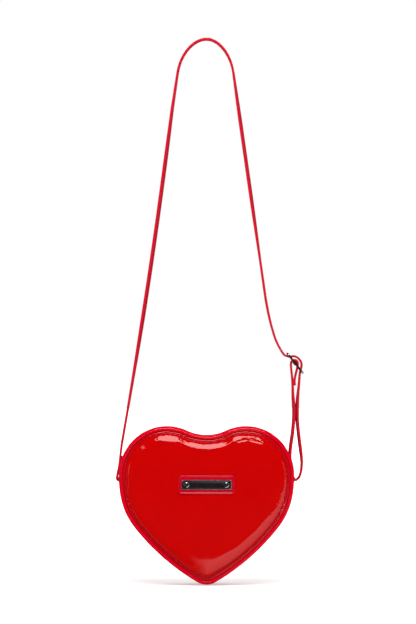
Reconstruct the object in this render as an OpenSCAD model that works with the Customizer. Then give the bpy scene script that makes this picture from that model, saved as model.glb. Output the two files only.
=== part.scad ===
// Heart-shaped crossbody bag of glossy vinyl, hung from the top of its strap.
// X runs across the bag, the front faces -Y and Z points up. The origin is the
// underside of the strap at the top of its loop, where a hook or a hand holds it.

/* [Bag] */
// Width of the bag over its piping
bag_w = 210; // [190:5:240]
// Distance between the front and the back seam
bag_d = 52; // [46:1:70]
// Thickness of the laminated vinyl
vinyl_t = 1.4; // [1.0:0.1:1.8]
// Thickness of the lining cloth
lining_t = 0.6; // [0.4:0.1:0.8]
// How far the padded panels swell past the seam
crown_h = 7; // [5:0.5:10]
// Width of the rolled margin round each panel
crown_w = 12; // [9:0.5:12]
// Width of the seam allowances inside the bag
seam_w = 8; // [5:0.5:9]

/* [Piping] */
// Diameter of the piping
piping_d = 5; // [4:0.2:5.6]
// Thickness of the piping's skin
piping_skin_t = 0.9; // [0.6:0.1:1.1]
// How far the gusset lies inside the piping
gusset_recess = 4.2; // [4:0.1:5]

/* [Zip] */
// Gap between the two vinyl strips beside the zip
zip_gap = 11; // [10.4:0.2:16]
// Width of each zip tape
tape_w = 12; // [9:0.5:14]
// Thickness of the zip tape
tape_t = 0.6; // [0.4:0.1:0.8]
// Distance from one tooth to the next on the same tape
tooth_pitch = 2.6; // [2.4:0.1:3.2]
// Height of a zip tooth
tooth_h = 2.4; // [2.0:0.1:2.6]
// Length of the zip slider
slider_l = 11; // [9:0.5:13]
// Width of the zip slider
slider_w = 8.6; // [8:0.2:9.4]
// Length of the pull tab from its pivot
pull_l = 16; // [12:0.5:18]
// Width of the pull tab
pull_w = 5.6; // [5:0.2:6.4]

/* [Name plate] */
// Width of the vinyl patch
patch_w = 68; // [60:1:80]
// Height of the vinyl patch
patch_h = 23; // [19:0.5:28]
// Width of the bare metal plate
plate_w = 60; // [50:1:64]
// Height of the bare metal plate
plate_h = 12; // [10:0.5:15]
// Thickness of the metal plate
plate_t = 1.1; // [0.8:0.1:1.6]
// Height of the plate's centre above the bag's tip
plate_z = 119.5; // [100:0.5:130]
// Distance between the two rivets
rivet_span = 47.6; // [38:0.2:50]
// Diameter of a rivet's head
rivet_d = 7; // [6:0.2:8]
// Diameter of a rivet's shank
shank_d = 2.6; // [2:0.1:3]

/* [Strap] */
// Width of the strap
strap_w = 20; // [16:0.5:26]
// Thickness of the strap
strap_t = 2.6; // [2.0:0.1:3]
// Height of the hang point above the bag's tip
strap_drop = 652; // [560:2:760]
// Half width of the bend at the top on the left
apex_left_w = 28.5; // [20:0.5:34]
// Half width of the bend at the top on the right
apex_right_w = 26.5; // [20:0.5:34]
// Height of the bend at the top
apex_h = 40; // [30:1:60]
// Height of the adjuster's centre above the right ring
slide_up = 137.7; // [125:0.5:170]
// Distance of the adjuster's centre outside the right ring
slide_out = 1.2; // [0:0.1:4]

/* [Metal fittings] */
// Diameter of the wire of the rings and the adjuster
wire_d = 2.4; // [2:0.1:2.8]
// Distance between the two bars of a ring
ring_pitch = 11.5; // [10:0.5:14]
// Distance between the end bars of the adjuster
slide_l = 29; // [27:0.5:34]
// Length of the tab that holds a ring
tab_l = 26; // [18:1:30]
// Thickness of one layer of the tab
tab_t = 1; // [0.8:0.1:1.2]

/* [Hidden] */
$fn = 96;

// Clearances: a close fit, a running gap and the overrun of every cut
fit = 0.05;
run_gap = 0.3;
cut = 1;
// Bite by which sewn layers of one strap hold each other
sew_bite = 0.1;

// The outline of the bag: headings in degrees where one arc of the right half
// ends and the next begins, from the tip round to the dip, and the arcs' radii
// as shares of half the width. The radius of the dip closes the outline.
headings = [0, 30, 52, 81, 90, 205, 180];
radius_shares = [0.2, 2.5, 0.81, 1.43, 0.546];
// The same arcs counted as stations that only grow, in degrees
stations = [0, 30, 52, 81, 90, 205, 230];
top_station = stations[6];
lobe_from = stations[4];
lobe_to = stations[5];
// How far a chord may stray from its arc where the outline is drawn in chords
chord_sag = 0.15;

function total(v, i = 0) = i < len(v) ? v[i] + total(v, i + 1) : 0;
function run_of(r, i) = r * (sin(headings[i + 1]) - sin(headings[i]));
widest_share = total([for (i = [0 : 3]) run_of(radius_shares[i], i)]);
convex_r = [for (s = radius_shares) s * bag_w / 2 / widest_share];
lobes_run = total([for (i = [0 : 4]) run_of(convex_r[i], i)]);
arc_r = concat(convex_r, [-lobes_run / (sin(headings[6]) - sin(headings[5]))]);

// Outward normal at a heading, where the arcs begin, and their centres
function normal_at(h) = [sin(h), -cos(h)];
function begins(i) = i == 0 ? [0, 0]
  : begins(i - 1) + arc_r[i - 1] * (normal_at(headings[i]) - normal_at(headings[i - 1]));
arc_centre = [for (i = [0 : 5]) begins(i) - arc_r[i] * normal_at(headings[i])];

// A point of the outline: s is its station, u its distance outside the outline
function arc_of(s, i = 0) = i == 5 || s <= stations[i + 1] ? i : arc_of(s, i + 1);
function heading_of(s) = s <= lobe_to ? s : 2 * lobe_to - s;
function spot(s, u) = arc_centre[arc_of(s)] + (arc_r[arc_of(s)] + u) * normal_at(heading_of(s));
function chords(i, run, sag) = ceil(run / (2 * acos(1 - sag / abs(arc_r[i]))));
function stops(from, to, sag) = concat(
  [for (i = [0 : 5]) let (a = max(from, stations[i]), b = min(to, stations[i + 1]))
    if (b > a) for (k = [0 : chords(i, b - a, sag) - 1]) a + (b - a) * k / chords(i, b - a, sag)],
  [to]);
// Points of the right side, and of spans that are the same on both sides
function side_points(from, to, u, sag = chord_sag) = [for (s = stops(from, to, sag)) spot(s, u)];
function flipped(p) = [for (i = [len(p) - 1 : -1 : 0]) [-p[i][0], p[i][1]]];
function over_top(from, u, sag = chord_sag) = let (p = side_points(from, top_station, u, sag))
  concat(p, flipped(skip_last(p)));
function under_tip(to, u) = let (p = side_points(0, to, u)) concat(flipped(p), skip_first(p));
function outline(u) = let (p = side_points(0, top_station, u)) concat(p, flipped(skip_ends(p)));
function reversed(p) = [for (i = [len(p) - 1 : -1 : 0]) p[i]];
function skip_last(p) = [for (i = [0 : len(p) - 2]) p[i]];
function skip_first(p) = [for (i = [1 : len(p) - 1]) p[i]];
function skip_ends(p) = skip_last(skip_first(p));

// Seam planes and depths, measured forward from the middle of the bag
seam_v = bag_d / 2;
piping_r = piping_d / 2;
flange_t = 1;
seam_u = -piping_d - chord_sag;
allow_u = seam_u - seam_w;
panel_v = seam_v + flange_t / 2;
face_v = panel_v + crown_h;
gusset_v = seam_v - flange_t / 2 - vinyl_t;
web_v = seam_v - piping_r - fit;
flange_v = gusset_v + vinyl_t;
gusset_in_u = -gusset_recess - vinyl_t;
lining_u = gusset_in_u - fit;
lining_v = gusset_v - fit;
flat_u = seam_u - crown_w;
foam_core_u = allow_u - fit;
crown_steps = 5;

// Places the model's drawing frame, with its origin at the bag's tip, in the part's frame
module hung() { translate([0, 0, -strap_drop]) children(); }
module on_side(side) { if (side < 0) mirror([1, 0, 0]) children(); else children(); }

// Sweeps a section exactly along the outline's arcs between two stations. The
// section's x is the distance outside the outline, its y the depth towards the front.
module along(from, to, sides = [1, -1]) {
  for (side = sides) on_side(side)
    for (i = [0 : 5]) {
      a = max(from, stations[i]);
      b = min(to, stations[i + 1]);
      if (b > a)
        translate([arc_centre[i][0], 0, arc_centre[i][1]]) rotate([90, 0, 0])
          if (i < 5)
            rotate_extrude(angle = b - a, start = a - 90)
              translate([arc_r[i], 0]) children();
          else
            rotate_extrude(angle = b - a, start = 2 * lobe_to + 90 - b)
              translate([-arc_r[i], 0]) mirror([1, 0]) children();
    }
}

// Lofts a section's points round the whole outline in chords. A closed section
// makes a ring, and an open one a shell whose first and last rings are filled in.
module round_the_bag(section, closed) {
  n = len(section);
  rings = [for (q = section) [for (p = outline(q[0])) [p[0], -q[1], p[1]]]];
  count = len(rings[0]);
  polyhedron(
    points = [for (ring = rings, p = ring) p],
    faces = concat(
      [for (j = [0 : closed ? n - 1 : n - 2], i = [0 : count - 1], half = [0, 1])
        let (a = j * count + i, b = j * count + (i + 1) % count,
          c = (j + 1) % n * count + (i + 1) % count, d = (j + 1) % n * count + i)
        half == 0 ? [a, b, c] : [a, c, d]],
      closed ? [] : [
        [for (i = [count - 1 : -1 : 0]) i],
        [for (i = [0 : count - 1]) (n - 1) * count + i]]));
}

// Gives a drawing of the front view its depth
module between(v_from, v_to) {
  rotate([90, 0, 0]) translate([0, 0, v_from]) linear_extrude(v_to - v_from) children();
}
module heart_plate(u, v_from, v_to) { between(v_from, v_to) polygon(outline(u)); }
module band(p_out, p_in, v_from, v_to) {
  between(v_from, v_to) polygon(concat(p_out, reversed(p_in)));
}

// Mirrors a front piece to the back
module to_back() { mirror([0, 1, 0]) children(); }

module block(u_from, u_to, v_from, v_to) {
  translate([u_from, v_from]) square([u_to - u_from, v_to - v_from]);
}

// Quarter ellipse of the rolled margin, inset by t from the outer face, from a height up
function roll(t, up = 0) = let (first = asin(up / (crown_h - t))) [for (k = [0 : crown_steps])
  let (a = first + (90 - first) * k / crown_steps)
  [flat_u + (crown_w - t) * cos(a), panel_v + (crown_h - t) * sin(a)]];

// The vinyl rises from the seam, rolls over the padding and has its allowance turned in
module panel() {
  round_the_bag(concat(
    reversed(roll(0)),
    [[allow_u, panel_v], [allow_u, panel_v + vinyl_t]],
    roll(vinyl_t, vinyl_t)), false);
}

// Padding between the panel and the lining
module foam() {
  foam_t = vinyl_t + 2 * fit;
  round_the_bag(concat(
    [[foam_core_u, gusset_v + fit], [foam_core_u, panel_v + foam_t]],
    roll(foam_t, foam_t)), false);
}

// Skin of the piping: a strip folded round its cord, with both edges sewn into the seam
outer_sides = 9;
inner_sides = 7;
tail_v = flange_t / 2 - fit;
tail_angle = 180 - asin(tail_v / piping_r);
fold_gap = 0.04;
bore_r = piping_r - piping_skin_t;
cord_r = bore_r * cos(180 / inner_sides) - 2 * fit;
function round_points(r, sides, from) = [for (k = [0 : sides - 1])
  let (a = from - 2 * from * k / (sides - 1))
  [-piping_r + r * cos(a), seam_v + r * sin(a)]];
module piping() {
  round_the_bag(concat(
    [[allow_u, seam_v + tail_v]],
    round_points(piping_r, outer_sides, tail_angle),
    [[allow_u, seam_v - tail_v], [allow_u, seam_v - fold_gap]],
    reversed(round_points(bore_r, inner_sides, 180 - asin(fold_gap / bore_r))),
    [[allow_u, seam_v + fold_gap]]), true);
}
module cord() {
  cord_sides = 6;
  round_the_bag([for (k = [0 : cord_sides - 1])
    [-piping_r - cord_r * cos(360 * k / cord_sides), seam_v + cord_r * sin(360 * k / cord_sides)]], true);
}

// Stations: the gusset meets the zip, the stops, the slider and the tabs
zip_from = 131;
stop_station = 133.4;
slider_station = 141;
tab_station = 84;

/* Outer shell */
module front_panel() {
  color([0.78, 0, 0.02]) hung() difference() {
    panel();
    rivet_holes(shank_d / 2 + fit, panel_v, face_v + cut);
  }
}

module back_panel() { color([0.78, 0, 0.02]) hung() to_back() panel(); }

module front_foam() {
  color([0.85, 0.82, 0.75]) hung() difference() {
    foam();
    rivet_holes(washer_r + run_gap, face_v - vinyl_t - washer_pocket, face_v);
  }
}

module back_foam() { color([0.85, 0.82, 0.75]) hung() to_back() foam(); }
module front_piping() { color([0.86, 0, 0.08]) hung() piping(); }
module back_piping() { color([0.86, 0, 0.08]) hung() to_back() piping(); }
module front_cord() { color([0.92, 0.9, 0.85]) hung() cord(); }
module back_cord() { color([0.92, 0.9, 0.85]) hung() to_back() cord(); }

// One band from zip end to zip end round the tip, with its turned edges
module gusset_band() {
  color([0.74, 0, 0.05]) hung() {
    band(under_tip(zip_from, -gusset_recess), under_tip(zip_from, gusset_in_u), -web_v, web_v);
    band(under_tip(zip_from, seam_u), under_tip(zip_from, gusset_in_u), -flange_v, flange_v);
    for (v = [gusset_v, -flange_v])
      band(under_tip(zip_from, seam_u), under_tip(zip_from, allow_u), v, v + vinyl_t);
  }
}

/* Zip */
// One strip, on the front side, with its edge turned into the seam like the gusset's
module zip_strip() {
  half_gap = zip_gap / 2;
  band(over_top(zip_from, -gusset_recess), over_top(zip_from, gusset_in_u), half_gap, web_v);
  band(over_top(zip_from, seam_u), over_top(zip_from, gusset_in_u), half_gap, flange_v);
  band(over_top(zip_from, seam_u), over_top(zip_from, allow_u), gusset_v, flange_v);
}
module zip_strip_front() { color([0.74, 0, 0.05]) hung() zip_strip(); }
module zip_strip_back() { color([0.74, 0, 0.05]) hung() to_back() zip_strip(); }

// The tape lies under the strips and its bead carries the teeth
tape_u = gusset_in_u - chord_sag - fit - tape_t;
tape_sag = fit / 2;
bead_v = 1.3;
tooth_reach = 1.1;
tooth_grip = 1.5;
tooth_mid_u = tape_u + tape_t / 2;

module zip_tape() {
  band(over_top(zip_from, tape_u + tape_t, tape_sag), over_top(zip_from, tape_u, tape_sag),
    bead_v, bead_v + tape_w);
}
module zip_tape_front() { color([0.6, 0, 0.05]) hung() zip_tape(); }
module zip_tape_back() { color([0.6, 0, 0.05]) hung() to_back() zip_tape(); }

// Lengths along the bead, so that the teeth keep one pitch over every arc
lobe_bead_r = arc_r[4] + tooth_mid_u;
dip_bead_r = -arc_r[5] - tooth_mid_u;
degree_l = PI / 180;
lobe_bead_l = lobe_bead_r * (lobe_to - stop_station) * degree_l;
dip_bead_l = dip_bead_r * (top_station - lobe_to) * degree_l;
half_chain_l = lobe_bead_l + dip_bead_l;
function station_at(l) = l <= lobe_bead_l
  ? stop_station + l / lobe_bead_r / degree_l
  : lobe_to + (l - lobe_bead_l) / dip_bead_r / degree_l;

// A place on the outline: x runs outward, y towards the front, z along the outline
module at_station(s, u) {
  p = spot(s, u);
  translate([p[0], 0, p[1]]) rotate([0, 90 - heading_of(s), 0]) children();
}

tooth_l = tooth_pitch / 2 - 0.15;
// One tooth: a head over the middle and two jaws that grip the tape
module tooth() {
  jaw = bead_v + tooth_grip;
  slot = tape_t / 2 + fit;
  translate([0, 0, -tooth_l / 2]) linear_extrude(tooth_l)
    polygon([
      [-tooth_h / 2, bead_v], [-tooth_h / 2, jaw], [-slot, jaw], [-slot, bead_v - fit],
      [slot, bead_v - fit], [slot, jaw], [tooth_h / 2, jaw], [tooth_h / 2, bead_v],
      [tooth_h / 3, -tooth_reach], [-tooth_h / 3, -tooth_reach]]);
}

// The rows are offset by half a pitch, so that their teeth mesh
chain_count = floor(half_chain_l / tooth_pitch) - 1;
module tooth_row(shift) {
  for (side = [1, -1]) on_side(side)
    for (k = [0 : chain_count - 1])
      at_station(station_at(half_chain_l - tooth_pitch * (k + (side > 0 ? shift : 1 - shift))), tooth_mid_u)
        mirror([0, 1, 0]) tooth();
}
module zip_teeth_front() { color([0.2, 0.2, 0.21]) hung() tooth_row(0.25); }
module zip_teeth_back() { color([0.2, 0.2, 0.21]) hung() to_back() tooth_row(0.75); }

// Stops clamped round both beads at the two ends of the chain
stop_l = 2;
stop_half_w = bead_v + tooth_grip;
module zip_stops() {
  stop_angle = stop_l / lobe_bead_r / degree_l;
  slot = tape_t / 2 + fit;
  color([0.2, 0.2, 0.21]) hung()
    along(stop_station - stop_angle, stop_station)
      difference() {
        block(tooth_mid_u - tooth_h / 2, tooth_mid_u + tooth_h / 2, -stop_half_w, stop_half_w);
        for (f = [1, -1]) scale([1, f])
          block(tooth_mid_u - slot, tooth_mid_u + slot, bead_v - fit, stop_half_w + cut);
      }
}

// The slider: plates above and below the chain with edges turned towards the tape
plate_metal_t = 1;
slider_low_u = tooth_mid_u - tooth_h / 2 - run_gap;
slider_top_u = tooth_mid_u + tooth_h / 2 + run_gap;
slider_edge_t = 1;
edge_gap = tape_t / 2 + run_gap;
slider_angle = slider_l / (arc_r[4] + slider_top_u) / degree_l;
bail_l = 7;
bail_w = 1.6;
bail_t = 0.8;
pin_r = 0.5;
pin_play = 0.3;
pin_u = slider_top_u + plate_metal_t + pin_play + pin_r;
bail_in_u = pin_u + pin_r + pin_play;

module slider_shell_section(sign_u) {
  outer = sign_u > 0 ? slider_top_u : tooth_mid_u - slider_low_u + tooth_mid_u;
  translate([tooth_mid_u, 0]) scale([sign_u, 1]) translate([-tooth_mid_u, 0]) {
    block(outer, outer + plate_metal_t, -slider_w / 2, slider_w / 2);
    for (f = [1, -1]) scale([1, f])
      block(tooth_mid_u + edge_gap, outer + fit, slider_w / 2 - slider_edge_t, slider_w / 2);
  }
}

// Plan of the slider: broad where the chain parts, narrow where it closes
module slider_plan() {
  wide = slider_w / 2;
  nose_share = 0.68;
  waist_share = 0.2;
  at_station(slider_station, 0) rotate([0, -90, 0]) translate([0, 0, -piping_d])
    linear_extrude(4 * piping_d, center = true)
      polygon([
        [-slider_l, wide * nose_share], [-slider_l * waist_share, wide * nose_share],
        [slider_l * waist_share, wide], [slider_l, wide],
        [slider_l, -wide], [slider_l * waist_share, -wide],
        [-slider_l * waist_share, -wide * nose_share], [-slider_l, -wide * nose_share]]);
}

module zip_slider() {
  half = slider_angle / 2;
  color([0.13, 0.13, 0.14]) hung() {
    intersection() {
      along(slider_station - half, slider_station + half, [1]) {
        slider_shell_section(1);
        slider_shell_section(-1);
      }
      slider_plan();
    }
    at_station(slider_station, 0) bail();
  }
}

// Low arch over the slider that the pull's pin runs under
module bail() {
  foot_u = slider_top_u + plate_metal_t / 2;
  rotate([90, 0, 0]) translate([0, 0, -bail_w / 2]) linear_extrude(bail_w) difference() {
    translate([foot_u, -bail_l / 2]) square([bail_in_u + bail_t - foot_u, bail_l]);
    translate([foot_u - cut, -bail_l / 2 + bail_t])
      square([bail_in_u - foot_u + cut, bail_l - 2 * bail_t]);
  }
}

// The pull lies back along the zip, tilted a little towards it
pull_tilt = 3;
pull_t = 2 * pin_r;
arm_w = 1;
head_l = sqrt(pow(bail_l / 2, 2) + pow(bail_in_u + bail_t - pin_u, 2)) + pin_play;
module zip_pull() {
  arm_v = bail_w / 2 + run_gap;
  hole_r = 1.3;
  neck_share = 0.72;
  color([0.13, 0.13, 0.14]) hung()
    at_station(slider_station, pin_u) rotate([0, pull_tilt, 0]) {
      rotate([90, 0, 0]) cylinder(h = 2 * (arm_v + arm_w), r = pin_r, center = true);
      difference() {
        translate([-pull_t / 2, 0, 0]) rotate([90, 0, 90]) linear_extrude(pull_t) {
          for (f = [1, -1]) scale([f, 1])
            translate([arm_v, -head_l]) square([arm_w, head_l]);
          polygon([
            [-arm_v - arm_w, -head_l], [arm_v + arm_w, -head_l],
            [pull_w / 2 * neck_share, -head_l - arm_w * 2], [pull_w / 2, -pull_l + pull_w / 2],
            [pull_w / 4, -pull_l], [-pull_w / 4, -pull_l],
            [-pull_w / 2, -pull_l + pull_w / 2], [-pull_w / 2 * neck_share, -head_l - arm_w * 2]]);
        }
        translate([0, 0, -pull_l + pull_w / 2]) rotate([0, 90, 0])
          cylinder(h = pull_t + cut, r = hole_r, center = true);
      }
    }
}

/* Name plate, left bare */
patch_t = 1.2;
patch_r = 4;
patch_lip = 1.6;
patch_well = 0.4;
plate_rim = 0.9;
plate_step = 0.25;
rivet_head_h = 1.3;
washer_r = 3;
washer_t = 0.7;
washer_pocket = washer_t + shank_d / 2;
patch_v = face_v + fit;
plate_v = patch_v + patch_t - patch_well + fit;

module rounded(w, h, r) {
  for (x = [-1, 1], z = [-1, 1]) translate([x * (w / 2 - r), z * (h / 2 - r)]) circle(r = r);
  square([w - 2 * r, h], center = true);
  square([w, h - 2 * r], center = true);
}

// Stands on the drawing of the panel's face, at the plate's centre
module on_face(v) { translate([0, -v, plate_z]) rotate([90, 0, 0]) children(); }

module rivet_holes(r, v_from, v_to) {
  for (x = [-1, 1]) on_face(v_from) translate([x * rivet_span / 2, 0, 0])
    cylinder(h = v_to - v_from, r = r);
}

module name_patch() {
  color([0.78, 0, 0.02]) hung() difference() {
    on_face(patch_v) linear_extrude(patch_t) rounded(patch_w, patch_h, patch_r);
    on_face(plate_v - fit) linear_extrude(patch_t)
      rounded(patch_w - 2 * patch_lip, patch_h - 2 * patch_lip, patch_r - patch_lip);
    rivet_holes(shank_d / 2 + fit, face_v, plate_v);
  }
}

module name_plate() {
  color([0.1, 0.1, 0.11]) hung() difference() {
    on_face(plate_v) linear_extrude(plate_t) rounded(plate_w, plate_h, plate_rim);
    on_face(plate_v + plate_t - plate_step) linear_extrude(plate_t)
      square([plate_w - 2 * plate_rim, plate_h - 2 * plate_rim], center = true);
    rivet_holes(shank_d / 2 + fit, plate_v - cut, plate_v + plate_t);
  }
}

// Round heads with a sunk eye, and shanks that reach their washers
module plate_rivets() {
  seat = plate_v + plate_t - plate_step + fit;
  eye_share = 0.45;
  color([0.3, 0.3, 0.31]) hung() for (x = [-1, 1]) {
    on_face(seat) translate([x * rivet_span / 2, 0, 0]) difference() {
      rotate_extrude() union() {
        square([rivet_d / 2 - rivet_head_h, rivet_head_h]);
        intersection() {
          translate([rivet_d / 2 - rivet_head_h, 0]) circle(r = rivet_head_h);
          square([rivet_d / 2, rivet_head_h]);
        }
      }
      translate([0, 0, rivet_head_h / 2]) cylinder(h = rivet_head_h, r = rivet_d / 2 * eye_share);
    }
    on_face(washer_v - washer_t) translate([x * rivet_span / 2, 0, 0])
      cylinder(h = seat - washer_v + washer_t + fit, r = shank_d / 2);
  }
}

washer_v = face_v - vinyl_t - fit;
module rivet_washers() {
  color([0.6, 0.6, 0.6]) hung() for (x = [-1, 1])
    on_face(washer_v - washer_t) translate([x * rivet_span / 2, 0, 0]) difference() {
      cylinder(h = washer_t, r = washer_r);
      translate([0, 0, -cut]) cylinder(h = washer_t + 2 * cut, r = shank_d / 2 + fit);
    }
}

/* Lining: two flat panels and a band that leaves the zip open */
module lining_panel() { heart_plate(lining_u, lining_v - lining_t, lining_v); }
module lining_front() { color([0.25, 0.02, 0.03]) hung() lining_panel(); }
module lining_back() { color([0.25, 0.02, 0.03]) hung() to_back() lining_panel(); }

module lining_gusset() {
  edge_v = lining_v - lining_t - fit;
  band_u = tape_u - chord_sag - fit;
  color([0.25, 0.02, 0.03]) hung() difference() {
    between(-edge_v, edge_v) difference() {
      polygon(outline(band_u));
      polygon(outline(band_u - lining_t));
    }
    band(over_top(zip_from, band_u + lining_t), over_top(zip_from, band_u - 2 * lining_t),
      -zip_gap / 2, zip_gap / 2);
  }
}

/* Rings and their tabs */
wire_r = wire_d / 2;
surface_u = -gusset_recess + fit;
// Lower bar: it lies in the tab's fold, one layer off the gusset
low_bar = spot(tab_station, surface_u + tab_t + fit + wire_r);
// Upper bar: the strap passes between it and the gusset
up_gap = run_gap + strap_t + fit + fit + wire_r;
up_bar_x = spot(lobe_from, -gusset_recess + up_gap)[0];
ring_lean = asin((up_bar_x - low_bar[0]) / ring_pitch);
up_bar = low_bar + ring_pitch * [sin(ring_lean), cos(ring_lean)];
bend_r = wire_d * 1.05;
rail_y = strap_w / 2 + run_gap + bend_r;

// Closed rectangular loop of wire in the plane of y and z, from its lower bar
module wire_loop(pitch) {
  for (z = [0, pitch]) translate([0, 0, z]) rotate([90, 0, 0])
    cylinder(h = 2 * (rail_y - bend_r), r = wire_r, center = true);
  for (y = [-rail_y, rail_y]) translate([0, y, bend_r])
    cylinder(h = pitch - 2 * bend_r, r = wire_r);
  for (y = [-1, 1], z = [0, 1])
    translate([0, y * (rail_y - bend_r), z == 0 ? bend_r : pitch - bend_r]) rotate([90, 0, 90])
      rotate_extrude(angle = 90, start = (z == 0 ? (y > 0 ? 270 : 180) : (y > 0 ? 0 : 90)))
        translate([bend_r, 0]) circle(r = wire_r);
}

module ring() {
  translate([low_bar[0], 0, low_bar[1]]) rotate([0, ring_lean, 0]) wire_loop(ring_pitch);
}
module ring_right() { color([0.16, 0.16, 0.17]) hung() ring(); }
module ring_left() { color([0.16, 0.16, 0.17]) hung() on_side(-1) ring(); }

// A strip of vinyl folded over the lower bar and sewn to the gusset below it
module tab() {
  tab_w = strap_w;
  fold_r = wire_r + fit;
  tab_angle = tab_l / (arc_r[2] - gusset_recess) / degree_l;
  difference() {
    union() {
      along(tab_station - tab_angle, tab_station, [1])
        block(surface_u, surface_u + 2 * tab_t, -tab_w / 2, tab_w / 2);
      translate([low_bar[0], 0, low_bar[1]]) rotate([90, 0, 0])
        cylinder(h = tab_w, r = fold_r + tab_t, center = true);
      at_station(tab_station, surface_u) translate([0, 0, -2 * wire_d]) rotate([90, 0, 0])
        linear_extrude(tab_w, center = true)
          polygon([
            [tab_t, 0], [2 * tab_t, 0],
            [2 * (fold_r + tab_t), 2 * wire_d], [tab_t, 2 * wire_d]]);
    }
    translate([low_bar[0], 0, low_bar[1]]) rotate([90, 0, 0])
      cylinder(h = tab_w + cut, r = fold_r, center = true);
  }
}
module tab_right() { color([0.74, 0, 0.05]) hung() tab(); }
module tab_left() { color([0.74, 0, 0.05]) hung() on_side(-1) tab(); }

/* Strap */
// A smooth line through hand-set places, and a strip of the strap along it
spline_steps = 5;
function mid_of(a, b, c, d, t) = 0.5 * (2 * b + (c - a) * t + (2 * a - 5 * b + 4 * c - d) * t * t
  + (3 * b - a - 3 * c + d) * t * t * t);
function smooth(p) = let (n = len(p) - 1) concat(
  [for (i = [0 : n - 1], k = [0 : spline_steps - 1])
    mid_of(p[max(i - 1, 0)], p[i], p[i + 1], p[min(i + 2, n)], k / spline_steps)],
  [p[n]]);
function side_of(p, i) = let (
  d = p[min(i + 1, len(p) - 1)] - p[max(i - 1, 0)]) [-d[1], d[0]] / norm(d);
function edge(p, w, from, to) = [for (i = [from : to]) p[i] + w * side_of(p, i)];
// The strip between two of the line's points, or along all of it
module strip(p, from = 0, to = undef) {
  last = is_undef(to) ? len(p) - 1 : to;
  polygon(concat(edge(p, strap_t / 2, from, last), reversed(edge(p, -strap_t / 2, from, last))));
}
module across_strap() { rotate([90, 0, 0]) linear_extrude(strap_w, center = true) children(); }

// Where the strap turns round a ring's upper bar
wrap_r = wire_r + fit + strap_t / 2;
function turn(c, r, from, to, n) = [for (k = [0 : n])
  let (a = from + (to - from) * k / n) c + r * [cos(a), sin(a)]];

// Left end: folded round its ring and sewn back on itself
end_l = 37.6;
left_bar = [-up_bar[0], up_bar[1]];
end_outer_shares = [[0.077, 1], [0.053, 0.785], [0.027, 0.547], [0.003, 0.36], [-0.035, 0.19]];
end_outer = smooth(concat(
  [for (s = end_outer_shares) left_bar + end_l * s],
  [left_bar + wrap_r * [cos(170), sin(170)]]));
end_start = end_outer[0];
function outer_at(share) = lookup(share, [for (s = reversed(end_outer_shares)) [s[1], s[0]]]);
function beside(share, gap) = left_bar + [outer_at(share) * end_l + strap_t + gap, share * end_l];
end_inner = smooth([
  left_bar + [wrap_r, 0], left_bar + [wrap_r, end_l * 0.15], beside(0.3, strap_t / 5),
  beside(0.55, -sew_bite), beside(0.785, -sew_bite)]);
end_turn = turn(left_bar, wrap_r, 190, 345, 8);
end_line = concat(end_outer, end_turn, end_inner);
end_middle = len(end_outer) + 4;

module strap_end_left() {
  color([0.7, 0, 0.06]) hung() across_strap() {
    strip(end_line, 0, end_middle);
    strip(end_line, end_middle);
  }
}

// Main run: down the left, over the top and down the right
strand_top = strap_drop + strap_t / 2;
function bend_side(w, foot, sign_x, a) = let (d = apex_h * (1 - cos(a)))
  [sign_x * (w * sin(a) + d * (abs(foot[0]) - w) / (strand_top - foot[1])), strand_top - d];
bend_steps = 9;
left_foot = end_start + [0, run_gap];
function bend_pts(w, foot, sign_x) = [for (k = [1 : bend_steps])
  bend_side(w, foot, sign_x, 90 * k / bend_steps)];

slide_centre = up_bar + [slide_out, slide_up];
// Places round the adjuster, as shares of its length from its centre
feed_shares = [[-1.217, 2.676], [-1.11, 2.097], [-0.972, 1.517], [-0.79, 0.938], [-0.603, 0.569]];
right_foot = slide_centre + slide_l * feed_shares[0];
// The feed begins below the bend at the top, and the adjuster can travel along it
feed_share = 0.96;
feed_up = feed_share * (strand_top - apex_h - right_foot[1]);
feed_top = right_foot + (feed_up / (strand_top - right_foot[1]))
  * [apex_right_w - right_foot[0], strand_top - right_foot[1]];

module strap() {
  color([0.7, 0, 0.06]) hung() across_strap()
    strip(concat(
      [left_foot],
      reversed(bend_pts(apex_left_w, left_foot, -1)),
      [[0, strand_top]],
      bend_pts(apex_right_w, right_foot, 1),
      [feed_top]));
}

feed_line = [for (s = feed_shares) slide_centre + slide_l * s];
module strap_feed() {
  color([0.7, 0, 0.06]) hung() across_strap()
    strip(concat([feed_top + fit * (right_foot - feed_top) / feed_up], smooth(feed_line)));
}

// Threading: under one end bar, over the middle and under the other end bar
hump_shares = [[-0.597, 0.557], [-0.475, 0.375], [-0.386, 0.31], [-0.228, 0.268], [-0.13, 0.28],
  [-0.02, 0.285], [0.095, 0.235], [0.185, 0.15], [0.25, 0.045], [0.272, -0.07], [0.26, -0.17],
  [0.232, -0.275], [0.2, -0.405], [0.185, -0.56], [0.172, -0.75], [0.158, -0.93]];
hump_line = [for (s = hump_shares) slide_centre + slide_l * s];
// The strap's other end, looped over the middle bar and sewn to itself
loop_shares = [[-0.097, -0.93], [-0.117, -0.62], [-0.145, -0.345], [-0.168, -0.138],
  [-0.158, 0.028], [-0.09, 0.115], [0.005, 0.128], [0.09, 0.076], [0.118, -0.034],
  [0.1, -0.172], [0.055, -0.345]];
loop_line = [for (s = loop_shares) slide_centre + slide_l * s];
tail_z_shares = [-0.72, -0.82, -0.925];
tail_lean_share = 0.045;
function strand_x(z_share) = lookup(z_share, [[-0.93, -0.097], [-0.62, -0.117]]);
tail_line = smooth(concat(
  loop_line, [loop_line[10] + slide_l * [-tail_lean_share, -0.19]],
  [for (z = tail_z_shares)
    slide_centre + [strand_x(z) * slide_l + strap_t - sew_bite, z * slide_l]]));
loop_top = 6 * spline_steps;

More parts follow.
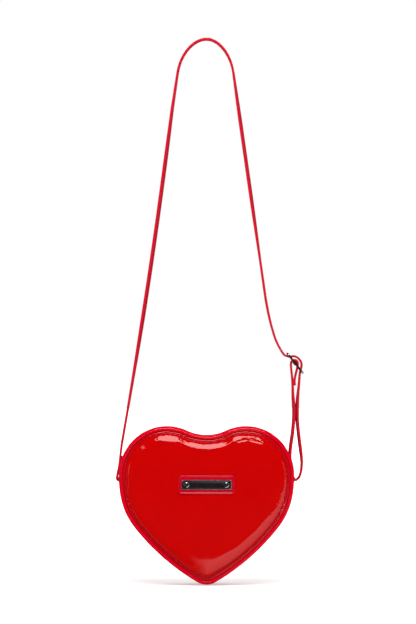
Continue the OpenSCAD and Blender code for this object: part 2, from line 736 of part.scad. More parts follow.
module strap_threads() {
  color([0.7, 0, 0.06]) hung() across_strap() {
    strip(smooth(hump_line));
    strip(tail_line, 0, loop_top);
    strip(tail_line, loop_top);
  }
}

// Two strands between the adjuster and the right ring, as shares of the height
strand_from = hump_line[15] - [0, run_gap];
outer_strand_shares = [[0.037, 0.763], [0.032, 0.705], [0.0285, 0.64], [0.0285, 0.505],
  [0.0335, 0.44], [0.041, 0.372], [0.0495, 0.3]];
inner_strand_shares = [[-0.011, 0.763], [-0.0085, 0.705], [-0.003, 0.64], [-0.0015, 0.572],
  [-0.003, 0.505], [-0.0085, 0.44], [-0.016, 0.372], [-0.0275, 0.3]];
outer_strand = [for (s = outer_strand_shares) up_bar + slide_up * s];
inner_strand = [for (s = inner_strand_shares) up_bar + slide_up * s];

module strap_strands() {
  color([0.7, 0, 0.06]) hung() across_strap() {
    strip(smooth(concat([strand_from], outer_strand)));
    strip(smooth(concat([loop_line[0] - [0, run_gap]], inner_strand)));
  }
}

// The loop that hangs in the right ring
outer_loop_shares = [[0.0595, 0.225], [0.067, 0.152], [0.0665, 0.1], [0.059, 0.048],
  [0.044, 0.008], [0.022, -0.0145]];
gusset_side_stations = [103, 94];
inner_side = [for (s = gusset_side_stations) spot(s, -gusset_recess + run_gap + strap_t / 2)];
loop_outer = smooth(concat(
  [outer_strand[6] - [0, run_gap]],
  [for (s = outer_loop_shares) up_bar + slide_up * s],
  [up_bar + wrap_r * [cos(275), sin(275)]]));
loop_inner = smooth([
  up_bar - [wrap_r, 0], inner_side[1], inner_side[0],
  up_bar + slide_up * [-0.036, 0.205], inner_strand[7] - [0, run_gap]]);
module strap_loop_right() {
  color([0.7, 0, 0.06]) hung() across_strap()
    strip(concat(loop_outer, turn(up_bar, wrap_r, 265, 195, 5), loop_inner));
}

/* Adjuster */
slide_slope = 51.7;
collar_l = 4.2;
collar_t = 0.9;
module at_slide() {
  translate([slide_centre[0], 0, slide_centre[1]]) rotate([0, slide_slope - 90, 0])
    translate([0, 0, -slide_l / 2]) children();
}
module slide_frame() { color([0.16, 0.16, 0.17]) hung() at_slide() wire_loop(slide_l); }

// Middle bar with an eye round each side rail
module slide_bar() {
  color([0.16, 0.16, 0.17]) hung() at_slide() translate([0, 0, slide_l / 2]) {
    rotate([90, 0, 0]) cylinder(h = 2 * (rail_y - wire_r - fit - collar_t / 2), r = wire_r, center = true);
    for (y = [-rail_y, rail_y]) translate([0, y, 0]) difference() {
      cylinder(h = collar_l, r = wire_r + fit + collar_t, center = true);
      cylinder(h = collar_l + cut, r = wire_r + fit, center = true);
    }
  }
}

front_panel();
front_foam();
front_piping();
front_cord();
back_panel();
back_foam();
back_piping();
back_cord();
gusset_band();
zip_strip_front();
zip_strip_back();
zip_tape_front();
zip_tape_back();
zip_teeth_front();
zip_teeth_back();
zip_stops();
zip_slider();
zip_pull();
name_patch();
name_plate();
plate_rivets();
rivet_washers();
lining_front();
lining_back();
lining_gusset();
tab_left();
tab_right();
ring_left();
ring_right();
strap();
strap_feed();
strap_threads();
strap_strands();
strap_end_left();
strap_loop_right();
slide_frame();
slide_bar();
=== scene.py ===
"""Dresses the heart-shaped crossbody bag: vinyl, piping, zip, name plate, strap and studio."""

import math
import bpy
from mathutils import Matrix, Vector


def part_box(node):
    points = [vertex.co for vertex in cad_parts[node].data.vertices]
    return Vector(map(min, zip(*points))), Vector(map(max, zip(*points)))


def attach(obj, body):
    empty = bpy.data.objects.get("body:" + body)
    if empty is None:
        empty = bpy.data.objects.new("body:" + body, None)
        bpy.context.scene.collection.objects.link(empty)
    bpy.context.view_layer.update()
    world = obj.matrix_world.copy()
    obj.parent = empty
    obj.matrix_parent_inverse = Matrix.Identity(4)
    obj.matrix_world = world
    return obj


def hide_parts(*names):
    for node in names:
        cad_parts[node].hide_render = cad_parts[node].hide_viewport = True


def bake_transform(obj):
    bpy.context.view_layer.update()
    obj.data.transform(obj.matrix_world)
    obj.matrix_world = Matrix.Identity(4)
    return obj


bl_info = {
    "name": "Heart Crossbody Bag",
    "version": (1, 0, 0),
    "blender": (4, 5, 0),
    "location": "3D View > Sidebar > Heart Bag",
    "description": "Builds the soft parts and finishes of a heart-shaped crossbody bag",
    "category": "Add Mesh",
}

import bmesh
import bpy
import numpy as np
from bpy.props import FloatProperty, FloatVectorProperty, PointerProperty
from bpy.types import Operator, Panel, PropertyGroup

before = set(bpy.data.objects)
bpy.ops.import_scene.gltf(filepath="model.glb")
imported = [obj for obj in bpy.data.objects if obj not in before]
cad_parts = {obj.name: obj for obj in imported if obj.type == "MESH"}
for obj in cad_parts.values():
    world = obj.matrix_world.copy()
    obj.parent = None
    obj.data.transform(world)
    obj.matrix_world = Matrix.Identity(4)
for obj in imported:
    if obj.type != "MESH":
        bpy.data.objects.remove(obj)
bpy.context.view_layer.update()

MM = 0.001
SEED = 7

# The outline of the bag, as in the part: arcs between headings, counted in
# stations that grow from the tip to the dip, and from there back to the tip
HEADINGS = np.radians((0, 30, 52, 81, 90, 205, 180))
STATIONS = np.array((0, 30, 52, 81, 90, 205, 230), float)
RADIUS_SHARES = (0.2, 2.5, 0.81, 1.43, 0.546)
SIDE_ARCS, LOBE_ARC, DIP_ARC = 4, 4, 5
DIP = 230.0
LOBE_END = 205.0
WHOLE = 460.0
TIP_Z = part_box("front_piping")[0][2]
HALF_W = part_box("front_piping")[1][0]

# Depths v, measured forward from the middle of the bag, and offsets u, measured
# outward from the outline
SEAM_V = 26 * MM
FACE_V = 33.5 * MM
WEB_V = 23.2 * MM
GUSSET_U = -4.2 * MM
TAPE_U = -6.1 * MM
VINYL_T = 1.4 * MM
ZIP_FROM = 131.0
ZIP_TO = WHOLE - ZIP_FROM
PLATE_Z = TIP_Z + 119.5 * MM


# ---------------------------------------------------------------- sizes and colours


def measure(name, description, default):
    return FloatProperty(name=name, description=description, default=default, unit="LENGTH")


def colour(name, description, value):
    return FloatVectorProperty(
        name=name,
        description=description,
        default=value,
        size=4,
        min=0,
        max=1,
        subtype="COLOR",
    )


class HeartBagSizes(PropertyGroup):
    piping_d: measure("Piping", "Diameter of the piping", 5 * MM)
    strap_w: measure(
        "Strap width", "Width of the strap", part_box("strap")[1][1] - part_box("strap")[0][1]
    )
    strap_t: measure("Strap thickness", "Thickness of the strap over both layers", 2.6 * MM)
    strap_twist: FloatProperty(
        name="Strap twist",
        description="How far the hanging runs of the strap turn",
        default=math.radians(6),
        subtype="ANGLE",
    )
    stitch_pitch: measure("Stitch pitch", "Distance from one stitch to the next", 3.1 * MM)
    pucker: measure("Pucker depth", "Depth of the puckers beside the sewn seam", 0.42 * MM)
    slack: measure("Slack", "How far the vinyl of the gusset and the margins waves", 0.5 * MM)


class HeartBagColours(PropertyGroup):
    panel: colour("Panels", "Red of the padded panels", (0.52, 0.0008, 0.0008, 1))
    # The patch's own red, with a little blue painted in as a bluish reflection on its gloss
    patch: colour("Patch", "Red of the patch under the plate", (0.52, 0.001, 0.012, 1))
    # The piping's own red, with a little blue painted in as a bluish reflection on its gloss
    piping: colour("Piping", "Red of the piping", (0.64, 0.001, 0.012, 1))
    gusset: colour("Gusset", "Red of the gusset and the zip strips", (0.54, 0.001, 0.006, 1))
    strap: colour("Strap", "Red of the strap and the tabs", (0.55, 0.008, 0.024, 1))
    thread: colour("Thread", "Red of the sewing thread", (0.46, 0.010, 0.055, 1))
    tape: colour("Zip tape", "Red of the woven zip tape", (0.28, 0.002, 0.01, 1))
    lining: colour("Lining", "Red of the lining cloth", (0.16, 0.008, 0.014, 1))
    plate: colour("Name plate", "Near black of the plate's field", (0.006, 0.002, 0.004, 1))
    bevel: colour("Plate edge", "Grey of the plate's bevelled edge", (0.78, 0.74, 0.74, 1))
    fitting: colour("Fittings", "Grey of the rings and the adjuster", (0.56, 0.55, 0.53, 1))
    rivet: colour("Rivets", "Grey of the two round rivets", (0.55, 0.53, 0.52, 1))
    enamel: colour("Zip metal", "Dark grey of the enamelled zip", (0.045, 0.044, 0.05, 1))
    washer: colour("Washers", "Grey of the plain steel washers", (0.48, 0.48, 0.47, 1))


def sizes():
    return bpy.context.scene.heart_bag_sizes


def colours():
    return bpy.context.scene.heart_bag_colours


def set_all(target, **settings):
    for key, value in settings.items():
        setattr(target, key, value)
    return target


# ---------------------------------------------------------------- lines and outlines


def smooth_line(points, steps=5):
    """The smooth line that the part draws through given places."""
    p = np.asarray(points, float)
    last = len(p) - 1
    line = []
    for i in range(last):
        a, b, c, d = p[max(i - 1, 0)], p[i], p[i + 1], p[min(i + 2, last)]
        bow, swing = 2 * a - 5 * b + 4 * c - d, 3 * b - a - 3 * c + d
        for t in (k / steps for k in range(steps)):
            line.append(0.5 * (2 * b + (c - a) * t + bow * t * t + swing * t**3))
    return np.array(line + [p[last]])


def turn(centre, radius, start, stop, count):
    """Places on an arc, from one angle to another."""
    angle = np.radians(np.linspace(start, stop, count + 1))
    return centre + radius * np.stack([np.cos(angle), np.sin(angle)], axis=1)


def lengths(points):
    steps = np.linalg.norm(np.diff(points, axis=0), axis=1)
    return np.concatenate([[0], np.cumsum(steps)])


def at_lengths(points, where, values=None):
    """The points of a line, or values that belong to them, at lengths along it."""
    run = lengths(points)
    columns = (points if values is None else values).T
    return np.stack([np.interp(where, run, column) for column in columns], axis=1)


def unit(vectors):
    return vectors / np.linalg.norm(vectors, axis=-1, keepdims=True)


def in_space(flat, y=0.0):
    """Places or directions of x and z with their y put in."""
    y = np.broadcast_to(y, flat.shape[:-1])
    return np.stack([flat[..., 0], y, flat[..., 1]], axis=-1)


def smooth_step(value, low, high):
    t = np.clip((value - low) / (high - low), 0, 1)
    return t * t * (3 - 2 * t)


def between(value, rise, risen, fall, fallen):
    """1 in the middle and 0 on either side, smooth between them."""
    return smooth_step(value, rise, risen) * (1 - smooth_step(value, fall, fallen))


def bell(value, middle, reach):
    return np.exp(-(((value - middle) / reach) ** 2))


def waves(run, total, shortest, longest, count, rng):
    """A smooth random wave along a closed run, about -1 to 1, with given wavelengths."""
    sum_of = np.zeros_like(run)
    for _ in range(count):
        turns = round(total / rng.uniform(shortest, longest))
        sum_of += np.sin(2 * math.pi * turns * run / total + rng.uniform(0, 2 * math.pi))
    return sum_of / math.sqrt(count)


class Outline:
    """The heart seen from the front. A place on it is a station from 0 at the tip, up
    the right side to the dip at 230, and down the left side to the tip at 460."""

    def __init__(self, half_w):
        sines = np.sin(HEADINGS)
        runs = np.diff(sines)
        widest = sum(s * r for s, r in zip(RADIUS_SHARES[:SIDE_ARCS], runs))
        radii = [s * half_w / widest for s in RADIUS_SHARES]
        lobes = sum(r * run for r, run in zip(radii, runs))
        self.radii = np.array(radii + [-lobes / runs[DIP_ARC]])
        directions = np.stack([sines, -np.cos(HEADINGS)], axis=1)
        begins = np.zeros(2)
        centres = []
        for i, r in enumerate(self.radii):
            centres.append(begins - r * directions[i])
            begins = begins + r * (directions[i + 1] - directions[i])
        self.centres = np.array(centres)

    def across(self, station):
        """The side, the station on the right half and the direction away from the bag
        there, for each station."""
        t = np.mod(np.asarray(station, float), WHOLE)
        side = np.where(t <= DIP, 1.0, -1.0)
        s = np.where(t <= DIP, t, WHOLE - t)
        heading = np.radians(np.where(s <= LOBE_END, s, 2 * LOBE_END - s))
        return side, s, np.stack([np.sin(heading), -np.cos(heading)], axis=-1)

    def outward(self, station):
        """The direction across the outline, away from the bag, as x and z."""
        side, _, away = self.across(station)
        return np.stack([side * away[..., 0], away[..., 1]], axis=-1)

    def spot(self, station, u=0.0):
        """x and z of a place that is u outside the outline."""
        side, s, away = self.across(station)
        arc = np.clip(np.searchsorted(STATIONS[1:], s, side="left"), 0, DIP_ARC)
        p = self.centres[arc] + (self.radii[arc] + u)[..., None] * away
        return np.stack([side * p[..., 0], p[..., 1] + TIP_Z], axis=-1)

    def paced(self, start, stop, pitch, closed=False):
        """Stations at an even pitch between two others, the run to each and the whole."""
        fine = np.linspace(start, stop, 4000)
        run = lengths(self.spot(fine))
        count = max(3, round(run[-1] / pitch))
        found = np.interp(np.linspace(0, run[-1], count + 1), run, fine)
        found = found[:-1] if closed else found
        run = lengths(self.spot(found))
        return found, run, run[-1] + (pitch if closed else 0)

    def sweep(self, stations, section):
        """Rings of points: for each (u, v) of the section, one point at every station.
        u and v may be numbers or arrays over the stations."""
        return np.array([in_space(self.spot(stations, u), np.negative(v)) for u, v in section])


OUTLINE = Outline(HALF_W)


def drawn_in(ring, share):
    """The ring drawn in towards the middle of the plate."""
    ring = ring.copy()
    ring[:, 0] *= share
    ring[:, 2] = PLATE_Z + (ring[:, 2] - PLATE_Z) * share
    return ring


# ---------------------------------------------------------------- meshes


def grid_faces(rows, columns, close_rows=False, close_columns=False):
    faces = []
    for j in range(rows if close_rows else rows - 1):
        for i in range(columns if close_columns else columns - 1):
            j2, i2 = (j + 1) % rows, (i + 1) % columns
            faces.append((j * columns + i, j * columns + i2, j2 * columns + i2, j2 * columns + i))
    return faces


def turn_faces_out(mesh, weld=0.0):
    """Turns the faces outward, once points nearer than the weld are joined."""
    work = bmesh.new()
    work.from_mesh(mesh)
    if weld:
        bmesh.ops.remove_doubles(work, verts=work.verts, dist=weld)
    bmesh.ops.recalc_face_normals(work, faces=work.faces)
    work.to_mesh(mesh)
    work.free()


class Pattern:
    """The cut pieces of one object: points, faces and the finish of each face."""

    def __init__(self):
        self.points = []
        self.faces = []
        self.finishes = []
        self.count = 0

    def add(self, points, faces, which=0):
        points = np.asarray(points, float).reshape(-1, 3)
        self.faces += [tuple(k + self.count for k in face) for face in faces]
        self.finishes += [which] * len(faces)
        self.points.append(points)
        self.count += len(points)

    def cap(self, first, count, which=0, reverse=False):
        """One face over a ring of points that are already there."""
        ring = range(first, first + count)
        self.faces.append(tuple(reversed(ring) if reverse else ring))
        self.finishes.append(which)

    def add_grid(self, rows, close_rows=False, close_columns=True, fill=False, which=0):
        """Quads between rows of points; fill also closes the first and the last row."""
        m, n = rows.shape[:2]
        first = self.count
        self.add(rows, grid_faces(m, n, close_rows, close_columns), which)
        if fill:
            self.cap(first, n, which)
            self.cap(first + (m - 1) * n, n, which, reverse=True)

    def add_band(self, stations, section):
        """A closed section swept along the outline, with both ends closed."""
        self.add_grid(np.transpose(OUTLINE.sweep(stations, section), (1, 0, 2)), fill=True)

    def make(self, name, finishes, sharp=40):
        mesh = bpy.data.meshes.new(name)
        mesh.from_pydata(np.concatenate(self.points).tolist(), [], self.faces)
        for which in finishes:
            mesh.materials.append(finish(which))
        mesh.polygons.foreach_set("material_index", self.finishes)
        turn_faces_out(mesh)
        mesh.shade_smooth()
        mesh.set_sharp_from_angle(angle=math.radians(sharp))
        obj = bpy.data.objects.new(name, mesh)
        bpy.context.scene.collection.objects.link(obj)
        return obj


def capsule(sides=6):
    """A thread's stitch along x, 1 long and 1 thick."""
    stops = ((-0.5, 0.30), (-0.42, 0.78), (-0.2, 1.0), (0.2, 1.0), (0.42, 0.78), (0.5, 0.30))
    angle = 2 * math.pi * np.arange(sides) / sides
    rows = [
        np.stack([np.full(sides, x), 0.5 * r * np.cos(angle), 0.5 * r * np.sin(angle)], axis=1)
        for x, r in stops
    ]
    stitch = Pattern()
    stitch.add_grid(np.array(rows), fill=True)
    return stitch


STITCH = capsule()
THREAD = 1  # a sewn piece's second finish
THREAD_LIFT = 0.12 * MM
# Kinds of stitch: length, thickness and slant
PATCH_STITCH = (2.1 * MM, 0.6 * MM, math.radians(8))
GUSSET_STITCH = (2.3 * MM, 0.6 * MM, 0.0)
STRIP_STITCH = (2.2 * MM, 0.6 * MM, math.radians(8))
STRAP_STITCH = (2.2 * MM, 0.55 * MM, math.radians(6))


def sew(pattern, row, up, stitch, closed=True, pitch=None, lean=1):
    """Stitches at an even pitch along a line of points, standing on its normals. With a
    lean of -1 they slant the other way."""
    length, thickness, slant = stitch
    slant = slant * lean
    pitch = pitch or sizes().stitch_pitch
    reach = 0.3 * pitch  # a stitch points from this far behind it to this far ahead
    line, normals = (np.concatenate([a, a[:1]]) if closed else a for a in (row, up))
    end = lengths(line)[-1]
    count = max(2, round(end / pitch))
    where = (np.arange(count) + 0.5) * end / count
    ahead = at_lengths(line, np.minimum(where + reach, end))
    behind = at_lengths(line, np.maximum(where - reach, 0))
    along = unit(ahead - behind)
    side = unit(np.cross(at_lengths(line, where, normals), along))
    turned = along * math.cos(slant) + side * math.sin(slant)
    beside = side * math.cos(slant) - along * math.sin(slant)
    x, y, z = (STITCH.points[0] * (length, thickness, thickness)).T[..., None]
    for place, a, b, c in zip(at_lengths(line, where), turned, beside, np.cross(along, side)):
        pattern.add(place + x * a + y * b + z * c, STITCH.faces, THREAD)


# ---------------------------------------------------------------- finishes


class Wire:
    """A shader socket in an expression: each operator adds the Math node it stands for."""

    def __init__(self, maker, socket):
        self.maker = maker
        self.socket = socket

    def math(self, operation, first, second=0.0):
        return self.maker.add("ShaderNodeMath", {"operation": operation}, {0: first, 1: second})

    def __add__(self, other):
        return self.math("ADD", self, other)

    def __sub__(self, other):
        return self.math("SUBTRACT", self, other)

    def __rsub__(self, other):
        return self.math("SUBTRACT", other, self)

    def __mul__(self, other):
        return self.math("MULTIPLY", self, other)

    __radd__ = __add__
    __rmul__ = __mul__

    def limited(self):
        return self.maker.add("ShaderNodeClamp", None, {"Value": self})

    def faded(self, low, high):
        """0 at low and 1 at high, smooth between them."""
        return self.maker.add(
            "ShaderNodeMapRange",
            {"interpolation_type": "SMOOTHSTEP"},
            {"Value": self, "From Min": low, "From Max": high},
        )


class Finish:
    """The nodes of one material or of the world."""

    def __init__(self, name=None, owner=None):
        self.owner = owner or bpy.data.materials.new(name)
        self.owner.use_nodes = True
        self.tree = self.owner.node_tree
        self.tree.nodes.clear()

    def add(self, kind, settings=None, inputs=None, output=0):
        node = set_all(self.tree.nodes.new(kind), **(settings or {}))
        for key, value in (inputs or {}).items():
            if isinstance(value, Wire):
                self.tree.links.new(value.socket, node.inputs[key])
            else:
                node.inputs[key].default_value = value
        return Wire(self, node.outputs[output]) if node.outputs else None

    def place(self, stretch=(1, 1, 1)):
        """Places on the object in metres, stretched by a factor along each axis."""
        where = self.add("ShaderNodeTexCoord", output="Object")
        return self.add("ShaderNodeMapping", None, {"Vector": where, "Scale": stretch})

    def noise(self, where, scale, detail=2.0, roughness=0.5):
        inputs = {"Vector": where, "Scale": scale, "Detail": detail, "Roughness": roughness}
        return self.add("ShaderNodeTexNoise", None, inputs, "Fac")

    def bands(self, where, scale, direction, distortion, detail):
        inputs = {"Vector": where, "Scale": scale, "Distortion": distortion, "Detail": detail}
        settings = {"wave_type": "BANDS", "bands_direction": direction}
        return self.add("ShaderNodeTexWave", settings, inputs, "Fac")

    def mixed(self, share, first, second):
        inputs = {0: share, 6: first, 7: second}
        return self.add("ShaderNodeMix", {"data_type": "RGBA"}, inputs, 2)

    def bump(self, height, distance, under=None):
        inputs = {"Height": height, "Distance": distance, "Strength": 1.0}
        if under:
            inputs["Normal"] = under
        return self.add("ShaderNodeBump", None, inputs)

    def surface(self, **inputs):
        """Joins a Principled shader to the material; names have _ for spaces."""
        named = {key.replace("_", " "): value for key, value in inputs.items()}
        shader = self.add("ShaderNodeBsdfPrincipled", None, named)
        self.add("ShaderNodeOutputMaterial", None, {"Surface": shader})
        return self.owner


def shade(value, factor):
    """A colour made lighter or darker."""
    return tuple(min(1.0, channel * factor) for channel in value[:3]) + (1.0,)


def patent_vinyl(name, value, peel=1.0, gloss=1.0):
    """Glossy coated vinyl: a clear top coat over red, with a little orange peel."""
    f = Finish(name)
    where = f.place()
    broad = f.noise(where, 28, 2)
    fine = f.noise(where, 520, 3, 0.55)
    grain = f.noise(where, 1500, 2)
    dust = f.noise(where, 160, 4, 0.7)
    tone = f.mixed(broad.faded(0.3, 0.7) * 0.22, tuple(value), shade(value, 0.80))
    tone = f.mixed(dust.faded(0.60, 0.82) * 0.10, tone, shade(value, 1.25))
    low = f.bump(broad, 0.00030 * peel)
    mid = f.bump(fine, 0.000022 * peel, low)
    return f.surface(
        Base_Color=tone,
        Roughness=0.16 + 0.10 * dust,
        Normal=f.bump(grain, 0.000003 * peel, mid),
        Coat_Weight=gloss,
        Coat_Roughness=0.025,
        Specular_IOR_Level=0.0,
    )


def sewing_thread(name, value):
    """Twisted thread with strands that wind round it."""
    f = Finish(name)
    where = f.place()
    strands = f.bands(where, 900.0, "DIAGONAL", 1.2, 1.0)
    fuzz = f.noise(where, 3000, 2)
    return f.surface(
        Base_Color=f.mixed(strands * 0.5, shade(value, 0.7), shade(value, 1.35)),
        Roughness=0.55 + 0.2 * fuzz,
        Normal=f.bump(strands + 0.3 * fuzz, 0.00004),
        Specular_IOR_Level=0.05,
    )


def woven_cloth(name, value, threads_per_metre):
    """Plain weave: two sets of threads that pass over and under each other."""
    f = Finish(name)
    where = f.place()
    bands_per_metre = threads_per_metre / 3.2
    a, b, c = (f.bands(where, bands_per_metre, axis, 0.4, 0.0) for axis in "XYZ")
    weave = a * b + b * c + a * c
    slub = f.noise(where, threads_per_metre / 8, 3)
    worn = (0.35 * weave + 0.4 * slub).limited()
    return f.surface(
        Base_Color=f.mixed(worn, shade(value, 0.6), shade(value, 1.4)),
        Roughness=0.75 + 0.15 * slub,
        Normal=f.bump(weave + 0.3 * slub, 0.00010),
        Sheen_Weight=0.25,
    )


def polished_metal(name, value, roughness, wear=0.5, brush=(1, 1, 1)):
    """Plated metal with fine scratches and spots worn a little lighter."""
    f = Finish(name)
    where = f.place(brush)
    scratches = f.noise(where, 2400, 4, 0.65)
    cloudy = f.noise(where, 110, 3)
    spots = f.noise(where, 700, 2).faded(0.60, 0.72)
    tone = f.mixed(cloudy.faded(0.35, 0.7) * 0.4, tuple(value), shade(value, 0.72))
    return f.surface(
        Base_Color=f.mixed(spots * (0.35 * wear), tone, shade(value, 1.9)),
        Metallic=1.0,
        Roughness=roughness + 0.12 * cloudy,
        Normal=f.bump(scratches, 0.000006),
    )


def enamelled_metal(name, value, roughness, metallic=0.35, brush=(1, 1, 1)):
    """Dark painted metal with a clear coat and a trace of brushing."""
    f = Finish(name)
    lines = f.noise(f.place(brush), 900, 5, 0.6)
    cloudy = f.noise(f.place(), 140, 2)
    return f.surface(
        Base_Color=f.mixed(lines * 0.6, tuple(value), shade(value, 2.4)),
        Metallic=metallic,
        Roughness=roughness + 0.15 * cloudy,
        Coat_Weight=0.5,
        Coat_Roughness=0.08,
        Normal=f.bump(lines, 0.000008),
    )


FINISHES = {}


def finish(name):
    """The material of that name, made when it is first asked for."""
    if name not in FINISHES:
        c = colours()
        recipes = {
            "panel_vinyl": (patent_vinyl, c.panel),
            "patch_vinyl": (patent_vinyl, c.patch, 0.8, 0.45),
            "piping_vinyl": (patent_vinyl, c.piping, 0.6, 0.4),
            "gusset_vinyl": (patent_vinyl, c.gusset, 1.2),
            "strap_vinyl": (patent_vinyl, c.strap, 0.15, 0.12),
            "thread": (sewing_thread, c.thread),
            "zip_tape": (woven_cloth, c.tape, 2200),
            "lining_cloth": (woven_cloth, c.lining, 1400),
            "plate_field": (enamelled_metal, c.plate, 0.2, 0, (0.05, 1, 1)),
            "plate_bevel": (polished_metal, c.bevel, 0.16),
            "fitting_metal": (polished_metal, c.fitting, 0.08, 0.4),
            "ring_metal": (polished_metal, shade(c.fitting, 0.43), 0.24),
            "rivet_metal": (polished_metal, c.rivet, 0.10, 0.3),
            "zip_metal": (enamelled_metal, c.enamel, 0.3),
            "washer_metal": (polished_metal, c.washer, 0.3, 0.5, (0.1, 1, 1)),
        }
        recipe, *choices = recipes[name]
        FINISHES[name] = recipe(name, *choices)
    return FINISHES[name]


def fit_on(obj, body=None, stands_for=(), blend=None):
    """Hangs a piece under its body's empty, or leaves it unparented when it blends between bodies,
    and hides the CAD nodes it stands for.
    """
    if blend:
        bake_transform(obj)
    else:
        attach(obj, body)
    if stands_for:
        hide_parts(*stands_for)


def dress_nodes(name, *nodes, bevel=0.0):
    """Gives CAD nodes their finish, and softens their edges where asked."""
    for node in nodes:
        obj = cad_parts[node]
        if not obj.material_slots:
            obj.data.materials.append(finish(name))
        for holder in obj.material_slots:
            holder.material = finish(name)
        if bevel:
            set_all(
                obj.modifiers.new("softened_edges", "BEVEL"),
                width=bevel,
                segments=2,
                limit_method="ANGLE",
                angle_limit=math.radians(35),
                harden_normals=True,
            )


# ---------------------------------------------------------------- padded panels

# Section of a panel's margin from the seam to the flat face, in mm: u and v
MARGIN = (
    (-5.15, 26.15), (-5.40, 27.50), (-6.3, 27.85), (-7.5, 27.80), (-7.75, 27.98), (-8.1, 28.60),
    (-8.9, 29.65), (-10.2, 31.00), (-12.0, 32.15), (-14.5, 32.95), (-17.2, 33.28), (-20.4, 33.42),
)
MARGIN_LINE = smooth_line(MARGIN, 3) * MM
# The panel's turned edge behind its margin, in mm, and the rings of both its faces
TURNED_EDGE = ((-6.2, 26.1), (-12.9, 26.0), (-13.3, 24.4))
FACE_SHARES = (0.94, 0.87, 0.78, 0.64, 0.50, 0.36, 0.22, 0.10, 0.03)
BACK_SHARES = (0.03, 0.2, 0.5, 0.8)
FACE_DISH = 0.08 * MM
# Offsets of the sewn groove, of the puckers beside it and of the loose roll, each
# with how far it reaches
GROOVE = (-6.9 * MM, 1.1 * MM)
TIGHT = (-8.3 * MM, 1.7 * MM)
LOOSE = (-12.5 * MM, 4.0 * MM)
# Height over the tip where the side bends most and the puckers crowd
CROWDED = (92 * MM, 15 * MM)
# A panel's stitch: its length as a share of the pitch, its thickness and its slant
STITCH_SHARE, PANEL_THREAD_D, PANEL_SLANT = 0.74, 0.72 * MM, math.radians(22)

# The cloth that settles the margin is free between two offsets, fading over a stretch
# inside each. A point's move is capped, and a share of it is taken
FREE_FROM, FREE_IN = -9.4 * MM, 1.6 * MM
FREE_TO, FREE_OUT = -18.6 * MM, 2.0 * MM
SETTLE_FRAMES = 24
SETTLE_CAP = 0.9 * MM
SETTLE_SHARE = 0.6


def settle(rows):
    """Lets the margin take its shape as vinyl over padding: a cloth held at the seam and
    on the flat face, a little too long for its place and pressed out from inside."""
    n = rows.shape[1]
    pattern = Pattern()
    pattern.add_grid(rows)
    sheet = pattern.make("settling_margin", [])
    if sheet.data.polygons[0].normal.y > 0:
        sheet.data.flip_normals()
    held = sheet.vertex_groups.new(name="held")
    for j, u in enumerate(MARGIN_LINE[:, 0]):
        free = smooth_step(u, FREE_FROM, FREE_FROM - FREE_IN)
        free = free * (1 - smooth_step(u, FREE_TO + FREE_OUT, FREE_TO))
        held.add(list(range(j * n, (j + 1) * n)), 1.0 - float(free), "REPLACE")
    cloth = sheet.modifiers.new("vinyl", "CLOTH")
    set_all(
        cloth.settings,
        quality=6,
        mass=0.25,
        air_damping=6,
        tension_stiffness=30,
        compression_stiffness=30,
        shear_stiffness=12,
        bending_stiffness=10,
        vertex_group_mass="held",
        pin_stiffness=1,
        use_pressure=True,
        uniform_pressure_force=0.45,
        shrink_min=-0.002,
    )
    cloth.settings.effector_weights.gravity = 0.2
    set_all(cloth.point_cache, frame_start=1, frame_end=SETTLE_FRAMES)
    scene = bpy.context.scene
    for step in range(SETTLE_FRAMES):
        scene.frame_set(step + 1)
        bpy.context.view_layer.update()
    settled = sheet.evaluated_get(bpy.context.evaluated_depsgraph_get())
    found = np.array([v.co[:] for v in settled.data.vertices]).reshape(rows.shape)
    scene.frame_set(1)
    data = sheet.data
    bpy.data.objects.remove(sheet)
    bpy.data.meshes.remove(data)
    moved = found - rows
    far = np.linalg.norm(moved, axis=2, keepdims=True)
    return rows + SETTLE_SHARE * moved * np.minimum(1, SETTLE_CAP / np.maximum(far, 1e-9))


